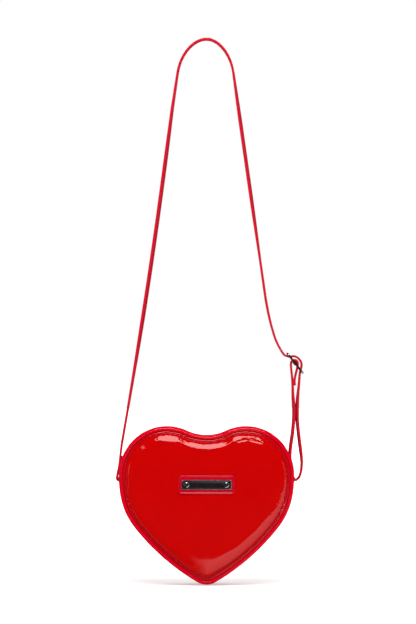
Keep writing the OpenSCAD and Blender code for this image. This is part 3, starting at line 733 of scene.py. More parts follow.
def panel_mesh(name, front):
    """A padded panel: a seam allowance, a rolled and puckered margin and a flat face."""
    depth, slack, pitch = sizes().pucker, sizes().slack, sizes().stitch_pitch
    rng = np.random.default_rng(SEED + (0 if front else 50))
    stations, run, total = OUTLINE.paced(0, WHOLE, 1.5 * MM, closed=True)
    pucker = waves(run, total, 5 * MM, 9 * MM, 4, rng)
    holes = np.cos(2 * math.pi * run * round(total / pitch) / total)
    heights = OUTLINE.spot(stations)[:, 1] - TIP_Z
    gather = 0.4 + 1.3 * bell(heights, *CROWDED)
    upper = smooth_step(heights, 0.0, 150 * MM)
    wave = waves(run, total, 24 * MM, 48 * MM, 4, rng) * (0.3 + 0.4 * upper)
    slow = waves(run, total, 70 * MM, 160 * MM, 2, rng) * (0.2 + 0.25 * upper)
    rows = []
    for u, v in MARGIN_LINE:
        tight, loose = bell(u, *TIGHT), bell(u, *LOOSE)
        lift = depth * gather * pucker * tight + 0.45 * slack * wave * loose
        lift = lift + 0.14 * MM * holes * bell(u, *GROOVE)
        shift = 0.7 * slack * slow * loose + 0.25 * depth * pucker * tight
        rows.append((u + shift, v + lift))
    margin = settle(OUTLINE.sweep(stations, rows))
    inside = OUTLINE.sweep(stations, np.array(TURNED_EDGE) * MM)
    back = [drawn_in(inside[-1], share) for share in BACK_SHARES]
    face = [drawn_in(margin[-1], share) for share in FACE_SHARES]
    for ring, share in zip(face, FACE_SHARES):
        ring[:, 1] = -FACE_V + FACE_DISH * smooth_step(share, 0.7, 1.0)
    pattern = Pattern()
    pattern.add_grid(np.array(back + list(inside[::-1]) + list(margin) + face), fill=True)
    groove = int(np.argmin(np.abs(MARGIN_LINE[:, 0] - GROOVE[0])))
    ahead = np.roll(margin[groove], -1, axis=0) - np.roll(margin[groove], 1, axis=0)
    ups = unit(np.cross(ahead, margin[groove + 1] - margin[groove - 1]))
    ups = ups * np.where(ups[:, 1] > 0, -1, 1)[:, None]
    stitch = (STITCH_SHARE * pitch, PANEL_THREAD_D, PANEL_SLANT)
    sew(pattern, margin[groove] + ups * THREAD_LIFT, ups, stitch)
    if not front:
        for points in pattern.points:
            points[:, 1] *= -1
    return pattern.make(name, ["panel_vinyl", "thread"])


class HEARTBAG_OT_panels(Operator):
    """Build the two padded panels with their sewn margins"""

    bl_idname = "heartbag.panels"
    bl_label = "Padded Panels"

    def execute(self, context):
        for end in ("front", "back"):
            panel = panel_mesh(f"{end}_shell", end == "front")
            fit_on(panel, "bag", (f"{end}_panel", f"{end}_foam"))
        return {"FINISHED"}


# ---------------------------------------------------------------- piping


class HEARTBAG_OT_piping(Operator):
    """Build the two rounds of piping, which take the place of their cords"""

    bl_idname = "heartbag.piping"
    bl_label = "Piping"

    def execute(self, context):
        radius = sizes().piping_d / 2
        stations, run, total = OUTLINE.paced(0, WHOLE, 1.4 * MM, closed=True)
        sides = 22
        allowance = (
            (-1.75 * radius, 0.42),
            (-13.0 * MM, 0.40),
            (-13.0 * MM, -0.40),
            (-1.75 * radius, -0.42),
        )
        for end, side in (("front", 1), ("back", -1)):
            rng = np.random.default_rng(SEED + 20 + side)
            lumps = waves(run, total, 9 * MM, 26 * MM, 5, rng)
            creases = waves(run, total, 2.6 * MM, 4.2 * MM, 3, rng)
            crowd = smooth_step(np.abs(waves(run, total, 50 * MM, 110 * MM, 2, rng)), 0.4, 1.2)
            swell = 0.045 * MM * lumps + 0.028 * MM * creases * crowd - 0.05 * MM
            drift = 0.10 * MM * waves(run, total, 30 * MM, 80 * MM, 3, rng)
            r = radius + swell
            skin = [
                (-radius + r * math.cos(angle), side * (SEAM_V + drift + r * math.sin(angle)))
                for angle in 2 * math.pi * np.arange(sides) / sides
            ]
            tail = [(u, side * (SEAM_V + v * MM)) for u, v in allowance]
            pattern = Pattern()
            for section in (skin, tail):
                pattern.add_grid(OUTLINE.sweep(stations, section), close_rows=True)
            obj = pattern.make(f"{end}_piping_skin", ["piping_vinyl"], 60)
            fit_on(obj, "bag", (f"{end}_piping", f"{end}_cord"))
        return {"FINISHED"}


# ---------------------------------------------------------------- gusset and zip

# Depths across the gusset in mm; its middle sags between the seams
GUSSET_V = (-25.3, -24.6, -23.6, -22.4, -19, -14, -8, -3, 3, 8, 14, 19, 22.4, 23.6, 24.6, 25.3)
GUSSET_SAG = 0.9 * MM
# Rows of stitches across each end of the gusset: inset from the end, and lift
END_ROWS = ((2.6 * MM, 0.62 * MM), (5.2 * MM, 0.1 * MM))
# Outer face of the vinyl beside the zip, from its folded edge to the seam, and its
# sewn groove among these places; then half of the tape's section. All in mm
STRIP_FACE = (
    (5.62, -4.95), (5.75, -4.45), (6.2, -4.12), (7.0, -4.02), (8.0, -4.30), (9.2, -4.12),
    (13, -4.05), (18, -4.10), (21.5, -4.2), (23.2, -4.6), (24.4, -5.15), (25.3, -5.2),
)
STRIP_GROOVE = 4
STRIP_T = 0.2 * MM
STRIP_FOLD_U = -5.62 * MM
TAPE_HALF = ((0.3, 13.2), (0.3, 6.0), (0.3, 3.0), (0.33, 2.2), (0.30, 1.5), (0, 1.32))
# Half of the lining's section in mm: v and u
LINING_HALF = ((5.6, -6.9), (12, -6.9), (18, -6.9), (23.2, -7.1), (23.7, -8.2))
LINING_SHARES = (0.85, 0.65, 0.45, 0.25, 0.06)


class HEARTBAG_OT_gusset(Operator):
    """Build the gusset band round the sides and the tip"""

    bl_idname = "heartbag.gusset"
    bl_label = "Gusset Band"

    def execute(self, context):
        rng = np.random.default_rng(SEED + 30)
        stations, run, total = OUTLINE.paced(ZIP_TO, WHOLE + ZIP_FROM, 1.7 * MM)
        end = np.minimum(run, total - run)
        fold = 0.55 * MM * (1 - smooth_step(end, 2.0 * MM, 5.0 * MM))
        rounding = 0.7 * MM * np.clip(1 - end / (0.8 * MM), 0, 1)
        outer = []
        for v in np.array(GUSSET_V) * MM:
            ripple = waves(run, total, 16 * MM, 42 * MM, 4, rng)
            near_edge = smooth_step(abs(v), 22.6 * MM, 25.3 * MM)
            slack = 0.45 * sizes().slack * ripple * (1 - near_edge)
            u = GUSSET_U + slack + fold - rounding - 0.95 * MM * near_edge
            outer.append((u - GUSSET_SAG * max(0.0, 1 - (v / WEB_V) ** 2), v))
        pattern = Pattern()
        pattern.add_band(stations, outer + [(u - VINYL_T, v) for u, v in reversed(outer)])
        v = np.linspace(-22 * MM, 22 * MM, 40)
        sag = GUSSET_SAG * (1 - (v / WEB_V) ** 2)
        for station, side in ((ZIP_FROM, -1), (ZIP_TO, 1)):
            for inset, lift in END_ROWS:
                at = station + side * math.degrees(inset / OUTLINE.radii[LOBE_ARC])
                up = np.repeat([in_space(OUTLINE.outward(at))], len(v), axis=0)
                row = in_space(OUTLINE.spot(at, GUSSET_U + lift - sag), v)
                sew(pattern, row, up, GUSSET_STITCH, closed=False)
        obj = pattern.make("gusset_skin", ["gusset_vinyl", "thread"], 50)
        fit_on(obj, "bag", ("gusset_band",))
        return {"FINISHED"}


class HEARTBAG_OT_zip(Operator):
    """Build the vinyl strips and woven tapes of the zip, and finish its metal"""

    bl_idname = "heartbag.zip"
    bl_label = "Zip"

    def execute(self, context):
        for name, side in (("front", 1), ("back", -1)):
            self.strip(name, side)
            self.tape(name, side)
        dress_nodes("zip_metal", "zip_teeth_front", "zip_teeth_back", "zip_stops")
        dress_nodes("zip_metal", "zip_slider", "zip_pull", bevel=0.18 * MM)
        return {"FINISHED"}

    def strip(self, name, side):
        """The vinyl beside the zip: its free edge is folded round and stitched down."""
        rng = np.random.default_rng(SEED + 40 + side)
        stations, run, total = OUTLINE.paced(ZIP_FROM, ZIP_TO, 1.5 * MM)
        waver = 0.25 * MM * waves(run, total, 14 * MM, 36 * MM, 4, rng)
        outer = []
        for v, u in STRIP_FACE:
            free = 1 - smooth_step(v, 8, 22)
            outer.append((u * MM + 0.3 * waver * (1 - free), side * (v * MM + waver * free)))
        inner = [(np.minimum(u - STRIP_T, STRIP_FOLD_U), v) for u, v in reversed(outer)]
        pattern = Pattern()
        pattern.add_band(stations, outer + inner)
        u, v = outer[STRIP_GROOVE]
        row = in_space(OUTLINE.spot(stations, u + THREAD_LIFT), -v)
        up = in_space(OUTLINE.outward(stations))
        sew(pattern, row, up, STRIP_STITCH, closed=False)
        obj = pattern.make(f"zip_strip_skin_{name}", ["gusset_vinyl", "thread"], 50)
        fit_on(obj, "bag", (f"zip_strip_{name}",))

    def tape(self, name, side):
        """The woven tape: flat under the strip, with a bead that the teeth grip."""
        stations, _, _ = OUTLINE.paced(ZIP_FROM + 0.3, ZIP_TO - 0.3, 1.8 * MM)
        section = TAPE_HALF + tuple((-lift, v) for lift, v in TAPE_HALF[-2::-1])
        pattern = Pattern()
        pattern.add_band(stations, [(TAPE_U + lift * MM, side * v * MM) for lift, v in section])
        obj = pattern.make(f"zip_tape_weave_{name}", ["zip_tape"], 50)
        fit_on(obj, "bag", (f"zip_tape_{name}",))


class HEARTBAG_OT_lining(Operator):
    """Build the lining as one loose cloth bag inside the vinyl"""

    bl_idname = "heartbag.lining"
    bl_label = "Lining"

    def execute(self, context):
        rng = np.random.default_rng(SEED + 60)
        stations, run, total = OUTLINE.paced(0, WHOLE, 3 * MM, closed=True)
        rows = []
        for v, u in tuple((-v, u) for v, u in reversed(LINING_HALF)) + LINING_HALF:
            fold = waves(run, total, 14 * MM, 40 * MM, 4, rng)
            rows.append((u * MM - 0.25 * MM * (1 + fold), v * MM))
        web = OUTLINE.sweep(stations, rows)
        rings = np.array(
            [drawn_in(web[0], share) for share in reversed(LINING_SHARES)]
            + list(web)
            + [drawn_in(web[-1], share) for share in LINING_SHARES]
        )
        # The row of faces in the middle is left out where the zip opens
        middle = len(LINING_SHARES) + len(LINING_HALF) - 1
        n = len(stations)
        under_zip = (ZIP_FROM < stations) & (stations < ZIP_TO)
        faces = [
            face
            for face in grid_faces(len(rings), n, close_columns=True)
            if not (face[0] // n == middle and under_zip[face[0] % n] and under_zip[face[1] % n])
        ]
        pattern = Pattern()
        pattern.add(rings, faces)
        pattern.cap(0, n)
        pattern.cap(pattern.count - n, n, reverse=True)
        obj = pattern.make("lining_bag", ["lining_cloth"], 50)
        cloth = obj.modifiers.new("cloth_thickness", "SOLIDIFY")
        set_all(cloth, thickness=0.5 * MM, offset=-1)
        fit_on(obj, "bag", ("lining_front", "lining_back", "lining_gusset"))
        return {"FINISHED"}


# ---------------------------------------------------------------- name plate

PATCH_SIZE = (68 * MM, 23 * MM, 4 * MM)
PATCH_V = FACE_V + 0.02 * MM
# Sections from the outer edge inward, in mm: inset, and height over the seat
PATCH_STEPS = (
    (0.35, -0.25), (0.02, 0.25), (0.10, 0.75), (0.45, 1.20), (1.10, 1.50), (1.75, 1.42),
    (2.35, 1.05), (2.95, 0.72), (3.45, 0.80), (4.2, 0.82), (6.5, 0.80), (10.5, 0.80),
)
PATCH_GROOVE = 7
PATCH_PITCH = 2.9 * MM
PATCH_THREAD_LIFT = 0.14 * MM
# The rings of the patch's roll that puff unevenly, each with its share of the puff
PATCH_ROLL = ((3, 0.5), (4, 1.0), (5, 1.0), (6, 0.6))
PATCH_PUFF = 0.07 * MM
PLATE_SIZE = (60 * MM, 12 * MM, 0.9 * MM)
PLATE_V = FACE_V + 0.9 * MM
PLATE_STEPS = (
    (0, 0), (0, 0.62), (0.10, 0.80), (0.45, 1.1), (0.80, 1.1), (0.92, 0.89), (1.02, 0.85),
    (5.4, 0.85),
)
BEVEL_ENDS = 5  # the step where the bevelled edge meets the field


def rounded_loop(w, h, r, pitch):
    """Points round a rectangle with round corners, from the middle of its right side."""
    start = [(w / 2, 0.0)]
    arcs = [
        turn((sx * (w / 2 - r), sz * (h / 2 - r)), r, angle, angle + 90, 8)
        for sx, sz, angle in ((1, 1, 0), (-1, 1, 90), (-1, -1, 180), (1, -1, 270))
    ]
    line = np.concatenate([start, *arcs, start])
    run = lengths(line)
    count = round(run[-1] / pitch)
    return at_lengths(line, np.arange(count) * run[-1] / count)


def plate_rings(size, seat, steps, pitch):
    """Rings of a flat piece on the face, one for each step."""
    w, h, r = size
    base = rounded_loop(w, h, r, pitch)
    ahead = np.roll(base, -1, axis=0) - np.roll(base, 1, axis=0)
    out = unit(np.stack([ahead[:, 1], -ahead[:, 0]], axis=1))
    rings = []
    for inset, height in np.array(steps) * MM:
        p = base - out * inset
        if inset >= r:
            p = rounded_loop(w - 2 * inset, h - 2 * inset, max(0.35 * MM, r - inset), pitch)
            p = np.concatenate([p, p[:1]])
            p = at_lengths(p, np.arange(len(base)) * lengths(p)[-1] / len(base))
        rings.append(in_space(p + (0, PLATE_Z), -(seat + height)))
    return np.array(rings)


class HEARTBAG_OT_name_plate(Operator):
    """Build the padded patch and the bare plate, and finish the rivets"""

    bl_idname = "heartbag.name_plate"
    bl_label = "Patch and Plate"

    def execute(self, context):
        rings = plate_rings(PATCH_SIZE, PATCH_V, PATCH_STEPS, 1.1 * MM)
        run = lengths(rings[0])
        puff = waves(run, run[-1], 7 * MM, 16 * MM, 4, np.random.default_rng(SEED + 70))
        for k, share in PATCH_ROLL:
            rings[k, :, 1] -= PATCH_PUFF * puff * share
        pattern = Pattern()
        pattern.add_grid(rings, fill=True)
        up = np.tile((0.0, -1.0, 0.0), (rings.shape[1], 1))
        row = rings[PATCH_GROOVE] + up * PATCH_THREAD_LIFT
        sew(pattern, row, up, PATCH_STITCH, pitch=PATCH_PITCH)
        patch = pattern.make("padded_patch", ["patch_vinyl", "thread"])
        fit_on(patch, "bag", ("name_patch",))

        rings = plate_rings(PLATE_SIZE, PLATE_V, PLATE_STEPS, 0.9 * MM)
        n = rings.shape[1]
        pattern = Pattern()
        pattern.add_grid(rings[: BEVEL_ENDS + 1], which=1)
        pattern.cap(0, n)
        pattern.add_grid(rings[BEVEL_ENDS:])
        pattern.cap(pattern.count - n, n, reverse=True)
        plate = pattern.make("bare_plate", ["plate_field", "plate_bevel"], 25)
        turn_faces_out(plate.data, weld=1e-6)
        fit_on(plate, "bag", ("name_plate",))
        dress_nodes("rivet_metal", "plate_rivets")
        dress_nodes("washer_metal", "rivet_washers")
        return {"FINISHED"}


# ---------------------------------------------------------------- strap and tabs

# Places of the part's strap in mm, x from the middle and z from the tip
SLIDE = np.array((106.2, 264.532))
SLIDE_L = 29.0
SLIDE_UP = 137.7
UP_BAR = np.array((105.0, 126.832))
LEFT_BAR = UP_BAR * (-1, 1)
LOW_BAR = np.array((102.287, 115.656))
WRAP_R = 2.55
APEX_H = 40.0
APEX_LEFT = 28.5
APEX_RIGHT = 26.5
STRAND_TOP = 653.3
STRAP_T = 2.6
RUN_GAP = 0.3
END_L = 37.6
# The sewn end: its outer side as shares of its length, its inner side as shares of
# the height and gaps in mm
LEFT_END = np.array(((0.077, 1), (0.053, 0.785), (0.027, 0.547), (0.003, 0.36), (-0.035, 0.19)))
LEFT_INNER = ((0.13, -0.3), (0.19, -0.05), (0.3, 0.0), (0.5, -0.05), (0.7, -0.05))
# Round the adjuster, as shares of its length from its centre
FEED = SLIDE + SLIDE_L * np.array((
    (-1.217, 2.676), (-1.11, 2.097), (-0.972, 1.517), (-0.79, 0.938), (-0.603, 0.569),
))
HUMP = SLIDE + SLIDE_L * np.array((
    (-0.597, 0.557), (-0.475, 0.375), (-0.386, 0.31), (-0.228, 0.268), (-0.13, 0.28),
    (-0.02, 0.285), (0.095, 0.235), (0.185, 0.15), (0.25, 0.045), (0.272, -0.07),
    (0.26, -0.17), (0.232, -0.275), (0.2, -0.405), (0.185, -0.56), (0.172, -0.75),
    (0.158, -0.93),
))
LOOP = SLIDE + SLIDE_L * np.array((
    (-0.097, -0.93), (-0.117, -0.62), (-0.145, -0.345), (-0.168, -0.138), (-0.158, 0.028),
    (-0.09, 0.115), (0.005, 0.128), (0.09, 0.076), (0.118, -0.034), (0.1, -0.172),
    (0.055, -0.345), (0.01, -0.535),
))
SEWN_TAIL = SLIDE + (WRAP_R, 0) + SLIDE_L * np.array((
    (-0.1103, -0.72), (-0.1038, -0.82), (-0.0975, -0.925),
))
# Between the adjuster and the right ring, as shares of that height from the ring
OUTER = UP_BAR + SLIDE_UP * np.array((
    (0.037, 0.763), (0.032, 0.705), (0.0285, 0.64), (0.0285, 0.505), (0.0335, 0.44),
    (0.041, 0.372), (0.0495, 0.3),
))
INNER = UP_BAR + SLIDE_UP * np.array((
    (-0.036, 0.205), (-0.0275, 0.3), (-0.016, 0.372), (-0.0085, 0.44), (-0.003, 0.505),
    (-0.0015, 0.572), (-0.003, 0.64), (-0.0085, 0.705), (-0.011, 0.763),
))
RING_LOOP = UP_BAR + SLIDE_UP * np.array((
    (0.0595, 0.225), (0.067, 0.152), (0.0665, 0.1), (0.059, 0.048), (0.044, 0.008),
    (0.022, -0.0145),
))
# Stations where the loop's inner side lies along the gusset
BESIDE_GUSSET = (94.0, 103.0)

# Heights over the tip, in m, between which a hanging run turns in and turns back
LEFT_TWIST = (0.20, 0.33, 0.50, 0.64)
FEED_TWIST = (0.36, 0.47, 0.55, 0.64)
STRAND_TWIST = (0.135, 0.165, 0.215, 0.236)
STRAND_TWIST_SHARE = 0.6
# The same for where the strap leaves its fittings, and how much it swells there
RUN_FREE = (0.158, 0.175)
FEED_FREE = (0.29, 0.34)
STRAND_FREE = (0.125, 0.145, 0.236, 0.25)
FREE_SWELL = 0.4 * MM
# The left run's bow: how far, from which height and over how much of it. Bow and
# twist start this far along the strap, once it has left the ring
SWAY, SWAY_FROM, SWAY_OVER = 2.7 * MM, 165 * MM, 405 * MM
SWAY_AFTER, TWIST_AFTER = 80 * MM, 90 * MM
# The sewn end is skived over this run, by this much of its thickness
SKIVE_RUN, SKIVE_T = 7 * MM, 1.5 * MM
# Where the strap is cut into pieces, in mm, and the place under the right ring
TOP_CUT = (33.8, 602.5)
OUTER_CUTS = ((110.782, 238), (110.7, 190))
RING_UNDER = (105.0, 124)
INNER_CUTS = ((104.6, 190), (103.387, 238))

# The tabs: width, thickness, the radius of their fold and the layer they are laid in
TAB_W, TAB_T, TAB_FOLD, TAB_LAYER = 19.6 * MM, 0.96 * MM, 1.25 * MM, 1.0 * MM
# Stations of a tab's inner layer, of its bar and of its outer layer
TAB_INNER = (68.0, 83.0)
TAB_BAR = 84.0
TAB_OUTER = (80.5, 68.4)


def bend_side(width, foot, sign):
    """One side of the bend at the top, from the run up to the middle."""
    angle = np.radians(90 - 90 * np.arange(19) / 19)
    drop = APEX_H * (1 - np.cos(angle))
    lean = (abs(foot[0]) - width) / (STRAND_TOP - foot[1])
    return np.stack([sign * (width * np.sin(angle) + drop * lean), STRAND_TOP - drop], axis=1)


def left_line():
    """From the sewn end round the left ring, up the left side and over the top."""

    def beside(share, gap):
        x = np.interp(share, LEFT_END[::-1, 1], LEFT_END[::-1, 0])
        return LEFT_BAR + (x * END_L + STRAP_T + gap, share * END_L)

    outer = smooth_line([*(LEFT_BAR + END_L * LEFT_END), *turn(LEFT_BAR, WRAP_R, 170, 170, 0)])
    inner = smooth_line(
        [*turn(LEFT_BAR, WRAP_R, 45, 45, 0), *(beside(*place) for place in LEFT_INNER)]
    )
    return np.concatenate(
        [
            inner[::-1],
            turn(LEFT_BAR, WRAP_R, 395, 190, 16),
            outer[::-1],
            bend_side(APEX_LEFT, outer[0] + (0, RUN_GAP), -1),
            [(0.0, STRAND_TOP)],
            bend_side(APEX_RIGHT, FEED[0], 1)[::-1],
            smooth_line(FEED),
        ]
    )


def right_line():
    """Through the adjuster, down the outer strand, round the right ring and back up."""
    side = OUTLINE.spot(BESIDE_GUSSET, GUSSET_U + (RUN_GAP + STRAP_T / 2) * MM)
    side = (side - (0, TIP_Z)) / MM
    return np.concatenate(
        [
            smooth_line([*HUMP, *OUTER])[:-1],
            smooth_line([*RING_LOOP, *turn(UP_BAR, WRAP_R, 275, 275, 0)]),
            turn(UP_BAR, WRAP_R, 265, 195, 7),
            smooth_line([UP_BAR - (WRAP_R, 0), *side, *INNER[:2]])[:-1],
            smooth_line([*INNER[1:], *LOOP, *SEWN_TAIL]),
        ]
    )


def spaced(line, finest=0.55, coarsest=7.0):
    """The same line in mm with more points where it bends more."""
    fine = at_lengths(line, np.arange(0, lengths(line)[-1], 0.2))
    kernel = np.ones(5) / 5
    inner = np.stack([np.convolve(column, kernel, "valid") for column in fine.T], axis=1)
    fine = np.concatenate([fine[:1], inner, line[-1:]])
    run = lengths(fine)
    ahead = np.gradient(fine, axis=0)
    angle = np.unwrap(np.arctan2(ahead[:, 1], ahead[:, 0]))
    bend = np.abs(np.gradient(angle) / np.maximum(np.gradient(run), 1e-6))
    bend = np.convolve(bend, np.ones(25) / 25, "same")
    step = np.clip(0.16 / np.maximum(bend, 1e-6), finest, coarsest)
    density = np.cumsum(np.gradient(run) / step)
    count = int(density[-1])
    where = np.interp(np.linspace(density[0], density[-1], count + 1), density, run)
    return at_lengths(fine, where)


def in_frame(line):
    """Places in mm from the tip as places in the frame."""
    return np.asarray(line) * MM + (0, TIP_Z)


def strap_point(x, z):
    return (x * MM, 0.0, z * MM + TIP_Z)


# A quarter of the strap's section, as shares of its width and thickness: puffed a
# little between the rows of stitches, with a fold line and a half-rounded edge
STRAP_QUARTER = (
    (0.0, 0.50), (0.30, 0.50), (0.37, 0.475), (0.40, 0.44), (0.43, 0.475), (0.47, 0.49),
    (0.489, 0.47), (0.497, 0.40), (0.500, 0.20), (0.494, 0.03),
)
STITCH_LINE = 0.40


class Ribbon:
    """A strap laid along a line in the plane of x and z, with its width along y."""

    def __init__(self, line, width, thickness, twist=0.0, swell=0.0):
        self.line = line
        self.width = width
        ahead = unit(np.gradient(line, axis=0))
        flat_out = in_space(np.stack([-ahead[:, 1], ahead[:, 0]], axis=1))
        flat_side = np.array((0.0, 1.0, 0.0))
        angle = np.broadcast_to(twist, len(line))[:, None]
        self.out = flat_out * np.cos(angle) + flat_side * np.sin(angle)
        self.side = flat_side * np.cos(angle) - flat_out * np.sin(angle)
        swell = np.broadcast_to(swell, len(line))[:, None]
        self.half = 0.5 * (thickness + swell)
        self.middle = in_space(line)
        quarter = [(a * width, b * thickness) for a, b in STRAP_QUARTER]
        top = [(-a, b) for a, b in reversed(quarter[1:])] + quarter
        across, up = np.array(top + [(a, -b) for a, b in reversed(top)]).T
        self.rows = (
            self.middle[:, None]
            + across[:, None] * self.side[:, None]
            + (up * (1 + swell / thickness))[..., None] * self.out[:, None]
        )

    def cut(self, name, start, stop, faces=(1, -1)):
        """The ribbon between two of its points as a piece, with rows of stitches."""
        part = slice(start, stop + 1)
        pattern = Pattern()
        pattern.add_grid(self.rows[part], fill=True)
        for face in faces:
            for edge in (1, -1):
                row = (
                    self.middle[part]
                    + self.side[part] * edge * STITCH_LINE * self.width
                    + self.out[part] * face * (0.88 * self.half[part] - 0.04 * MM)
                )
                up = self.out[part] * face
                sew(pattern, row, up, STRAP_STITCH, closed=False, lean=edge)
        return pattern.make(name, ["strap_vinyl", "thread"], 50)

    def nearest(self, place, after=0):
        """The point nearest to a place in mm from the tip, after another point."""
        x, z = in_frame(place)
        away = np.hypot(self.line[after:, 0] - x, self.line[after:, 1] - z)
        return after + int(np.argmin(away))


class HEARTBAG_OT_strap(Operator):
    """Build the strap: its runs, its sewn ends and its turns round the fittings"""

    bl_idname = "heartbag.strap"
    bl_label = "Strap"

    def execute(self, context):
        self.w, self.t = sizes().strap_w - 0.1 * MM, sizes().strap_t - 0.06 * MM
        self.left()
        self.right()
        return {"FINISHED"}

    def lay(self, ribbon, pieces):
        """Cuts pieces: name, ends, what it rides on or blends between, what it replaces."""
        for name, start, stop, holder, stands_for in pieces:
            piece = ribbon.cut(name, start, stop)
            if isinstance(holder, str):
                fit_on(piece, holder, stands_for)
            else:
                body, low, high = holder
                blend = ("bag", body, strap_point(*low), strap_point(*high))
                fit_on(piece, None, stands_for, blend)

    def left(self):
        """The sewn end, the run up the left and over the top, and the feed."""
        line = in_frame(spaced(left_line()))
        run = lengths(line)
        height = line[:, 1] - TIP_Z
        left = line[:, 0] < 0
        sway = np.clip((height - SWAY_FROM) / SWAY_OVER, 0, 1)
        line[:, 0] += np.where(left & (run > SWAY_AFTER), SWAY * np.sin(math.pi * sway), 0)
        turned = np.where(left, between(height, *LEFT_TWIST), -between(height, *FEED_TWIST))
        twist = sizes().strap_twist * turned * (run > TWIST_AFTER)
        free = smooth_step(height, *RUN_FREE)
        free = free * np.where(left, 1, smooth_step(height, *FEED_FREE))
        skived = 1 - smooth_step(run, 0, SKIVE_RUN)
        line[:, 0] -= SKIVE_T / 2 * skived
        ribbon = Ribbon(line, self.w, self.t, twist, FREE_SWELL * free - SKIVE_T * skived)
        top = ribbon.nearest(TOP_CUT)
        end_bow = ("ring_left", (-94.5, 265), (-104.5, 138))
        feed_bow = ("strap_slide", (34.5, 598), (70.0, 346))
        self.lay(
            ribbon,
            (
                ("strap_run", 0, top, end_bow, ("strap", "strap_end_left")),
                ("strap_feed_run", top, len(line) - 1, feed_bow, ("strap_feed",)),
            ),
        )

    def right(self):
        """The turns through the adjuster, the two strands and the loop in the ring."""
        line = in_frame(spaced(right_line()))
        height = line[:, 1] - TIP_Z
        after_ring = np.arange(len(line)) > np.argmin(height)
        share = np.where(after_ring, -STRAND_TWIST_SHARE, STRAND_TWIST_SHARE)
        twist = share * sizes().strap_twist * between(height, *STRAND_TWIST)
        swell = FREE_SWELL * between(height, *STRAND_FREE)
        ribbon = Ribbon(line, self.w, self.t, twist, swell)
        outer_top, outer_low = (ribbon.nearest(place) for place in OUTER_CUTS)
        ring = ribbon.nearest(RING_UNDER)
        inner_low, inner_top = (ribbon.nearest(place, ring) for place in INNER_CUTS)
        strands = ("strap_slide", (107, 190), (107, 238))
        ring_bow = ("ring_right", (107, 190), (107, 134))
        self.lay(
            ribbon,
            (
                ("strap_hump", 0, outer_top, "strap_slide", ("strap_threads",)),
                ("strap_sewn_loop", inner_top, len(line) - 1, "strap_slide", ()),
                ("strap_outer_strand", outer_top, outer_low, strands, ("strap_strands",)),
                ("strap_inner_strand", inner_low, inner_top, strands, ()),
                ("strap_ring_loop", outer_low, inner_low, ring_bow, ("strap_loop_right",)),
            ),
        )


class HEARTBAG_OT_tabs(Operator):
    """Build the two folded tabs that hold the rings"""

    bl_idname = "heartbag.tabs"
    bl_label = "Ring Tabs"

    def execute(self, context):
        surface = GUSSET_U + 0.05 * MM
        inner = OUTLINE.spot(np.linspace(*TAB_INNER, 26), surface + 0.52 * TAB_LAYER)
        out = OUTLINE.outward(TAB_BAR)
        start = math.degrees(math.atan2(-out[1], -out[0]))
        wrap = turn(in_frame(LOW_BAR), TAB_FOLD + TAB_LAYER / 2, start, start - 190, 21)
        low = np.linspace(*TAB_OUTER, 20)
        lift = 1.2 * MM * smooth_step(low, 77.5, 81.0)  # up to the bar
        outer = OUTLINE.spot(low, surface + 1.54 * TAB_LAYER + lift)
        for name, side in (("right", 1), ("left", -1)):
            line = np.concatenate([inner, wrap, outer]) * (side, 1)
            line = in_frame(spaced((line - (0, TIP_Z)) / MM, 0.4, 1.6))
            ribbon = Ribbon(line, TAB_W, TAB_T)
            obj = ribbon.cut(f"tab_fold_{name}", 0, len(line) - 1, faces=(side,))
            fit_on(obj, "bag", (f"tab_{name}",))
        return {"FINISHED"}


class HEARTBAG_OT_fittings(Operator):
    """Finish the rings and the adjuster"""

    bl_idname = "heartbag.fittings"
    bl_label = "Rings and Adjuster"

    def execute(self, context):
        dress_nodes("fitting_metal", "slide_frame", "slide_bar")
        dress_nodes("ring_metal", "ring_left", "ring_right")
        return {"FINISHED"}


# ---------------------------------------------------------------- stage


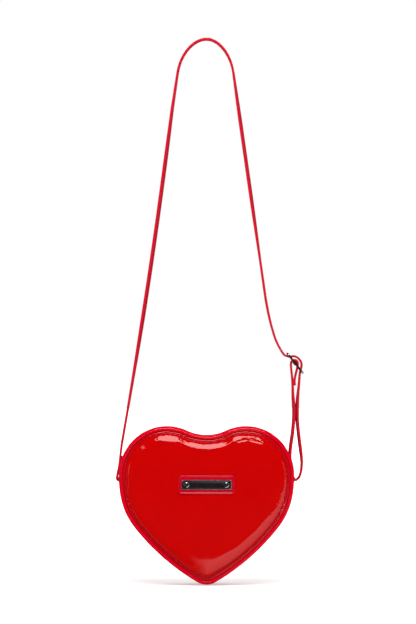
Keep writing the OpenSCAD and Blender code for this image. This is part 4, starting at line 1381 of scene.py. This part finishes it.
class HEARTBAG_OT_stage(Operator):
    """Set up the floor, the white surroundings, the lamps and the camera"""

    bl_idname = "heartbag.stage"
    bl_label = "Studio"

    def execute(self, context):
        self.floor()
        self.surroundings()
        self.lamps()
        self.camera(context)
        context.scene.view_settings.view_transform = "Standard"
        return {"FINISHED"}

    def floor(self):
        radius, rings, sides = 11.0, 24, 64
        angle = 2 * math.pi * np.arange(sides) / sides
        circle = np.stack([np.cos(angle), np.sin(angle), np.zeros(sides)], axis=1)
        under_bag = (0, 0, TIP_Z - 1.0 * MM)
        reach = radius * (np.arange(1, rings + 1) / rings) ** 2
        pattern = Pattern()
        pattern.add_grid(np.array([r * circle + under_bag for r in reach]))
        pattern.cap(0, sides)
        floor = pattern.make("studio_floor", [])
        floor.data.materials.append(self.paper())
        if floor.data.polygons[0].normal.z < 0:
            floor.data.flip_normals()

    def paper(self):
        """White paper. The vinyl mirrors a dark room in front of it, and one white card
        low on the right."""
        f = Finish("white_floor")
        where = f.add("ShaderNodeTexCoord", output="Object")
        far = f.add("ShaderNodeVectorMath", {"operation": "LENGTH"}, {0: where}, "Value")
        across = f.add("ShaderNodeSeparateXYZ", None, {0: where}, "X")
        back = f.add("ShaderNodeSeparateXYZ", None, {0: where}, "Y")
        grain = f.noise(where, 900, 2)
        card = across.faded(-0.035, 0.01) * back.faded(-0.62, -0.60)
        card = card * (1 - back.faded(-0.06, -0.04))
        glossy = f.add("ShaderNodeLightPath", output="Is Glossy Ray")
        near_back = 0.35 * back.faded(-0.08, 0.02) * (1 - back.faded(0.35, 0.60))
        bright = (card + near_back + (1 - glossy)).limited()
        white = f.mixed(bright, (0.02, 0.02, 0.02, 1), (0.82, 0.815, 0.81, 1))
        inputs = {"Color": white, "Normal": f.bump(grain, 0.0001)}
        matt = f.add("ShaderNodeBsdfDiffuse", None, inputs)
        glow = (1.06 - 0.78 * (1 - far.faded(0.5, 1.2))) * self.seen(f)
        light = f.add("ShaderNodeEmission", None, {"Color": (1, 1, 1, 1), "Strength": glow})
        lit = f.add("ShaderNodeAddShader", None, {0: matt, 1: light})
        under = f.add("ShaderNodeNewGeometry", output="Backfacing")
        clear = f.add("ShaderNodeBsdfTransparent")
        both = f.add("ShaderNodeMixShader", None, {0: under, 1: lit, 2: clear})
        f.add("ShaderNodeOutputMaterial", None, {"Surface": both})
        return f.owner

    def seen(self, f):
        """1 for the rays that reach the camera straight or through something clear."""
        straight = f.add("ShaderNodeLightPath", output="Is Camera Ray")
        through = f.add("ShaderNodeLightPath", output="Is Transmission Ray")
        return (straight + through).limited()

    def surroundings(self):
        """A white room that only the camera sees; the vinyl and metal mirror a dark one."""
        world = bpy.data.worlds.new("white_surroundings")
        bpy.context.scene.world = world
        f = Finish(owner=world)
        glossy = f.add("ShaderNodeLightPath", output="Is Glossy Ray")
        direction = f.add("ShaderNodeTexCoord", output="Generated")
        depth = f.add("ShaderNodeSeparateXYZ", None, {0: direction}, "Y")
        behind, beside = depth.faded(0.45, 0.97), depth.faded(-0.9, -0.4)
        matt = 0.06 + 0.72 * beside
        room = matt + glossy * (0.01 + 0.15 * behind - matt)
        inputs = {0: self.seen(f), 2: room, 3: 1.0}
        strength = f.add("ShaderNodeMix", {"data_type": "FLOAT"}, inputs)
        sky = f.add("ShaderNodeBackground", None, {"Color": (1, 1, 1, 1), "Strength": strength})
        f.add("ShaderNodeOutputWorld", None, {"Surface": sky})

    def lamps(self):
        centre = np.array((0.0, 0.0, TIP_Z + 0.11))
        # name, azimuth, elevation, distance, width, height, brightness
        plan = (
            ("top_softbox", 1, 46, 2.2, 1.15, 1.56, 6.8),
            ("left_panel", -60, 4, 2.0, 0.85, 0.9, 0.80),
            ("right_panel", 60, 4, 2.0, 0.85, 0.9, 0.50),
        )
        for name, azimuth, elevation, distance, width, height, brightness in plan:
            a, e = math.radians(azimuth), math.radians(elevation)
            toward = np.array((math.sin(a) * math.cos(e), -math.cos(a) * math.cos(e), math.sin(e)))
            data = set_all(
                bpy.data.lights.new(name, "AREA"),
                shape="RECTANGLE",
                size=width,
                size_y=height,
                energy=brightness * math.pi * width * height,
                color=(1.0, 0.985, 0.97),
            )
            lamp = bpy.data.objects.new(name, data)
            lamp.location = centre + distance * toward
            lamp.rotation_euler = (math.pi / 2 - e, 0.0, a)
            bpy.context.scene.collection.objects.link(lamp)

    def camera(self, context):
        # The photograph's frame: 416 by 624, 1.2 mm of the bag's plane to a pixel
        pixel, across, down, distance = 1.2 * MM, 416, 624, 6.0
        tip_x, tip_y = 206.5, 583.6
        data = bpy.data.cameras.new("photo_camera")
        data.sensor_width = 36
        data.lens = data.sensor_width * distance / (pixel * down)
        data.clip_end = 60
        camera = bpy.data.objects.new("photo_camera", data)
        camera.location = (
            (across / 2 - tip_x) * pixel,
            -distance,
            TIP_Z + (tip_y - down / 2) * pixel,
        )
        camera.rotation_euler = (math.pi / 2, 0, 0)
        context.scene.collection.objects.link(camera)
        context.scene.camera = camera


class HEARTBAG_PT_sidebar(Panel):
    """Lists the bag's pieces, sizes and colours"""

    bl_idname = "HEARTBAG_PT_sidebar"
    bl_label = "Heart Bag"
    bl_space_type = "VIEW_3D"
    bl_region_type = "UI"
    bl_category = "Heart Bag"

    def draw(self, context):
        layout = self.layout
        for kind in OPERATORS:
            layout.operator(kind.bl_idname)
        for group in (context.scene.heart_bag_sizes, context.scene.heart_bag_colours):
            for key in group.__annotations__:
                layout.prop(group, key)


OPERATORS = (
    HEARTBAG_OT_stage,
    HEARTBAG_OT_panels,
    HEARTBAG_OT_piping,
    HEARTBAG_OT_gusset,
    HEARTBAG_OT_zip,
    HEARTBAG_OT_lining,
    HEARTBAG_OT_name_plate,
    HEARTBAG_OT_tabs,
    HEARTBAG_OT_strap,
    HEARTBAG_OT_fittings,
)
CLASSES = (HeartBagSizes, HeartBagColours) + OPERATORS + (HEARTBAG_PT_sidebar,)


def register():
    for kind in CLASSES:
        bpy.utils.register_class(kind)
    bpy.types.Scene.heart_bag_sizes = PointerProperty(type=HeartBagSizes)
    bpy.types.Scene.heart_bag_colours = PointerProperty(type=HeartBagColours)


def unregister():
    del bpy.types.Scene.heart_bag_colours
    del bpy.types.Scene.heart_bag_sizes
    for kind in reversed(CLASSES):
        bpy.utils.unregister_class(kind)


def main():
    register()
    for step in (
        bpy.ops.heartbag.stage,
        bpy.ops.heartbag.panels,
        bpy.ops.heartbag.piping,
        bpy.ops.heartbag.gusset,
        bpy.ops.heartbag.zip,
        bpy.ops.heartbag.lining,
        bpy.ops.heartbag.name_plate,
        bpy.ops.heartbag.tabs,
        bpy.ops.heartbag.strap,
        bpy.ops.heartbag.fittings,
    ):
        step()


if __name__ == "__main__":
    main()
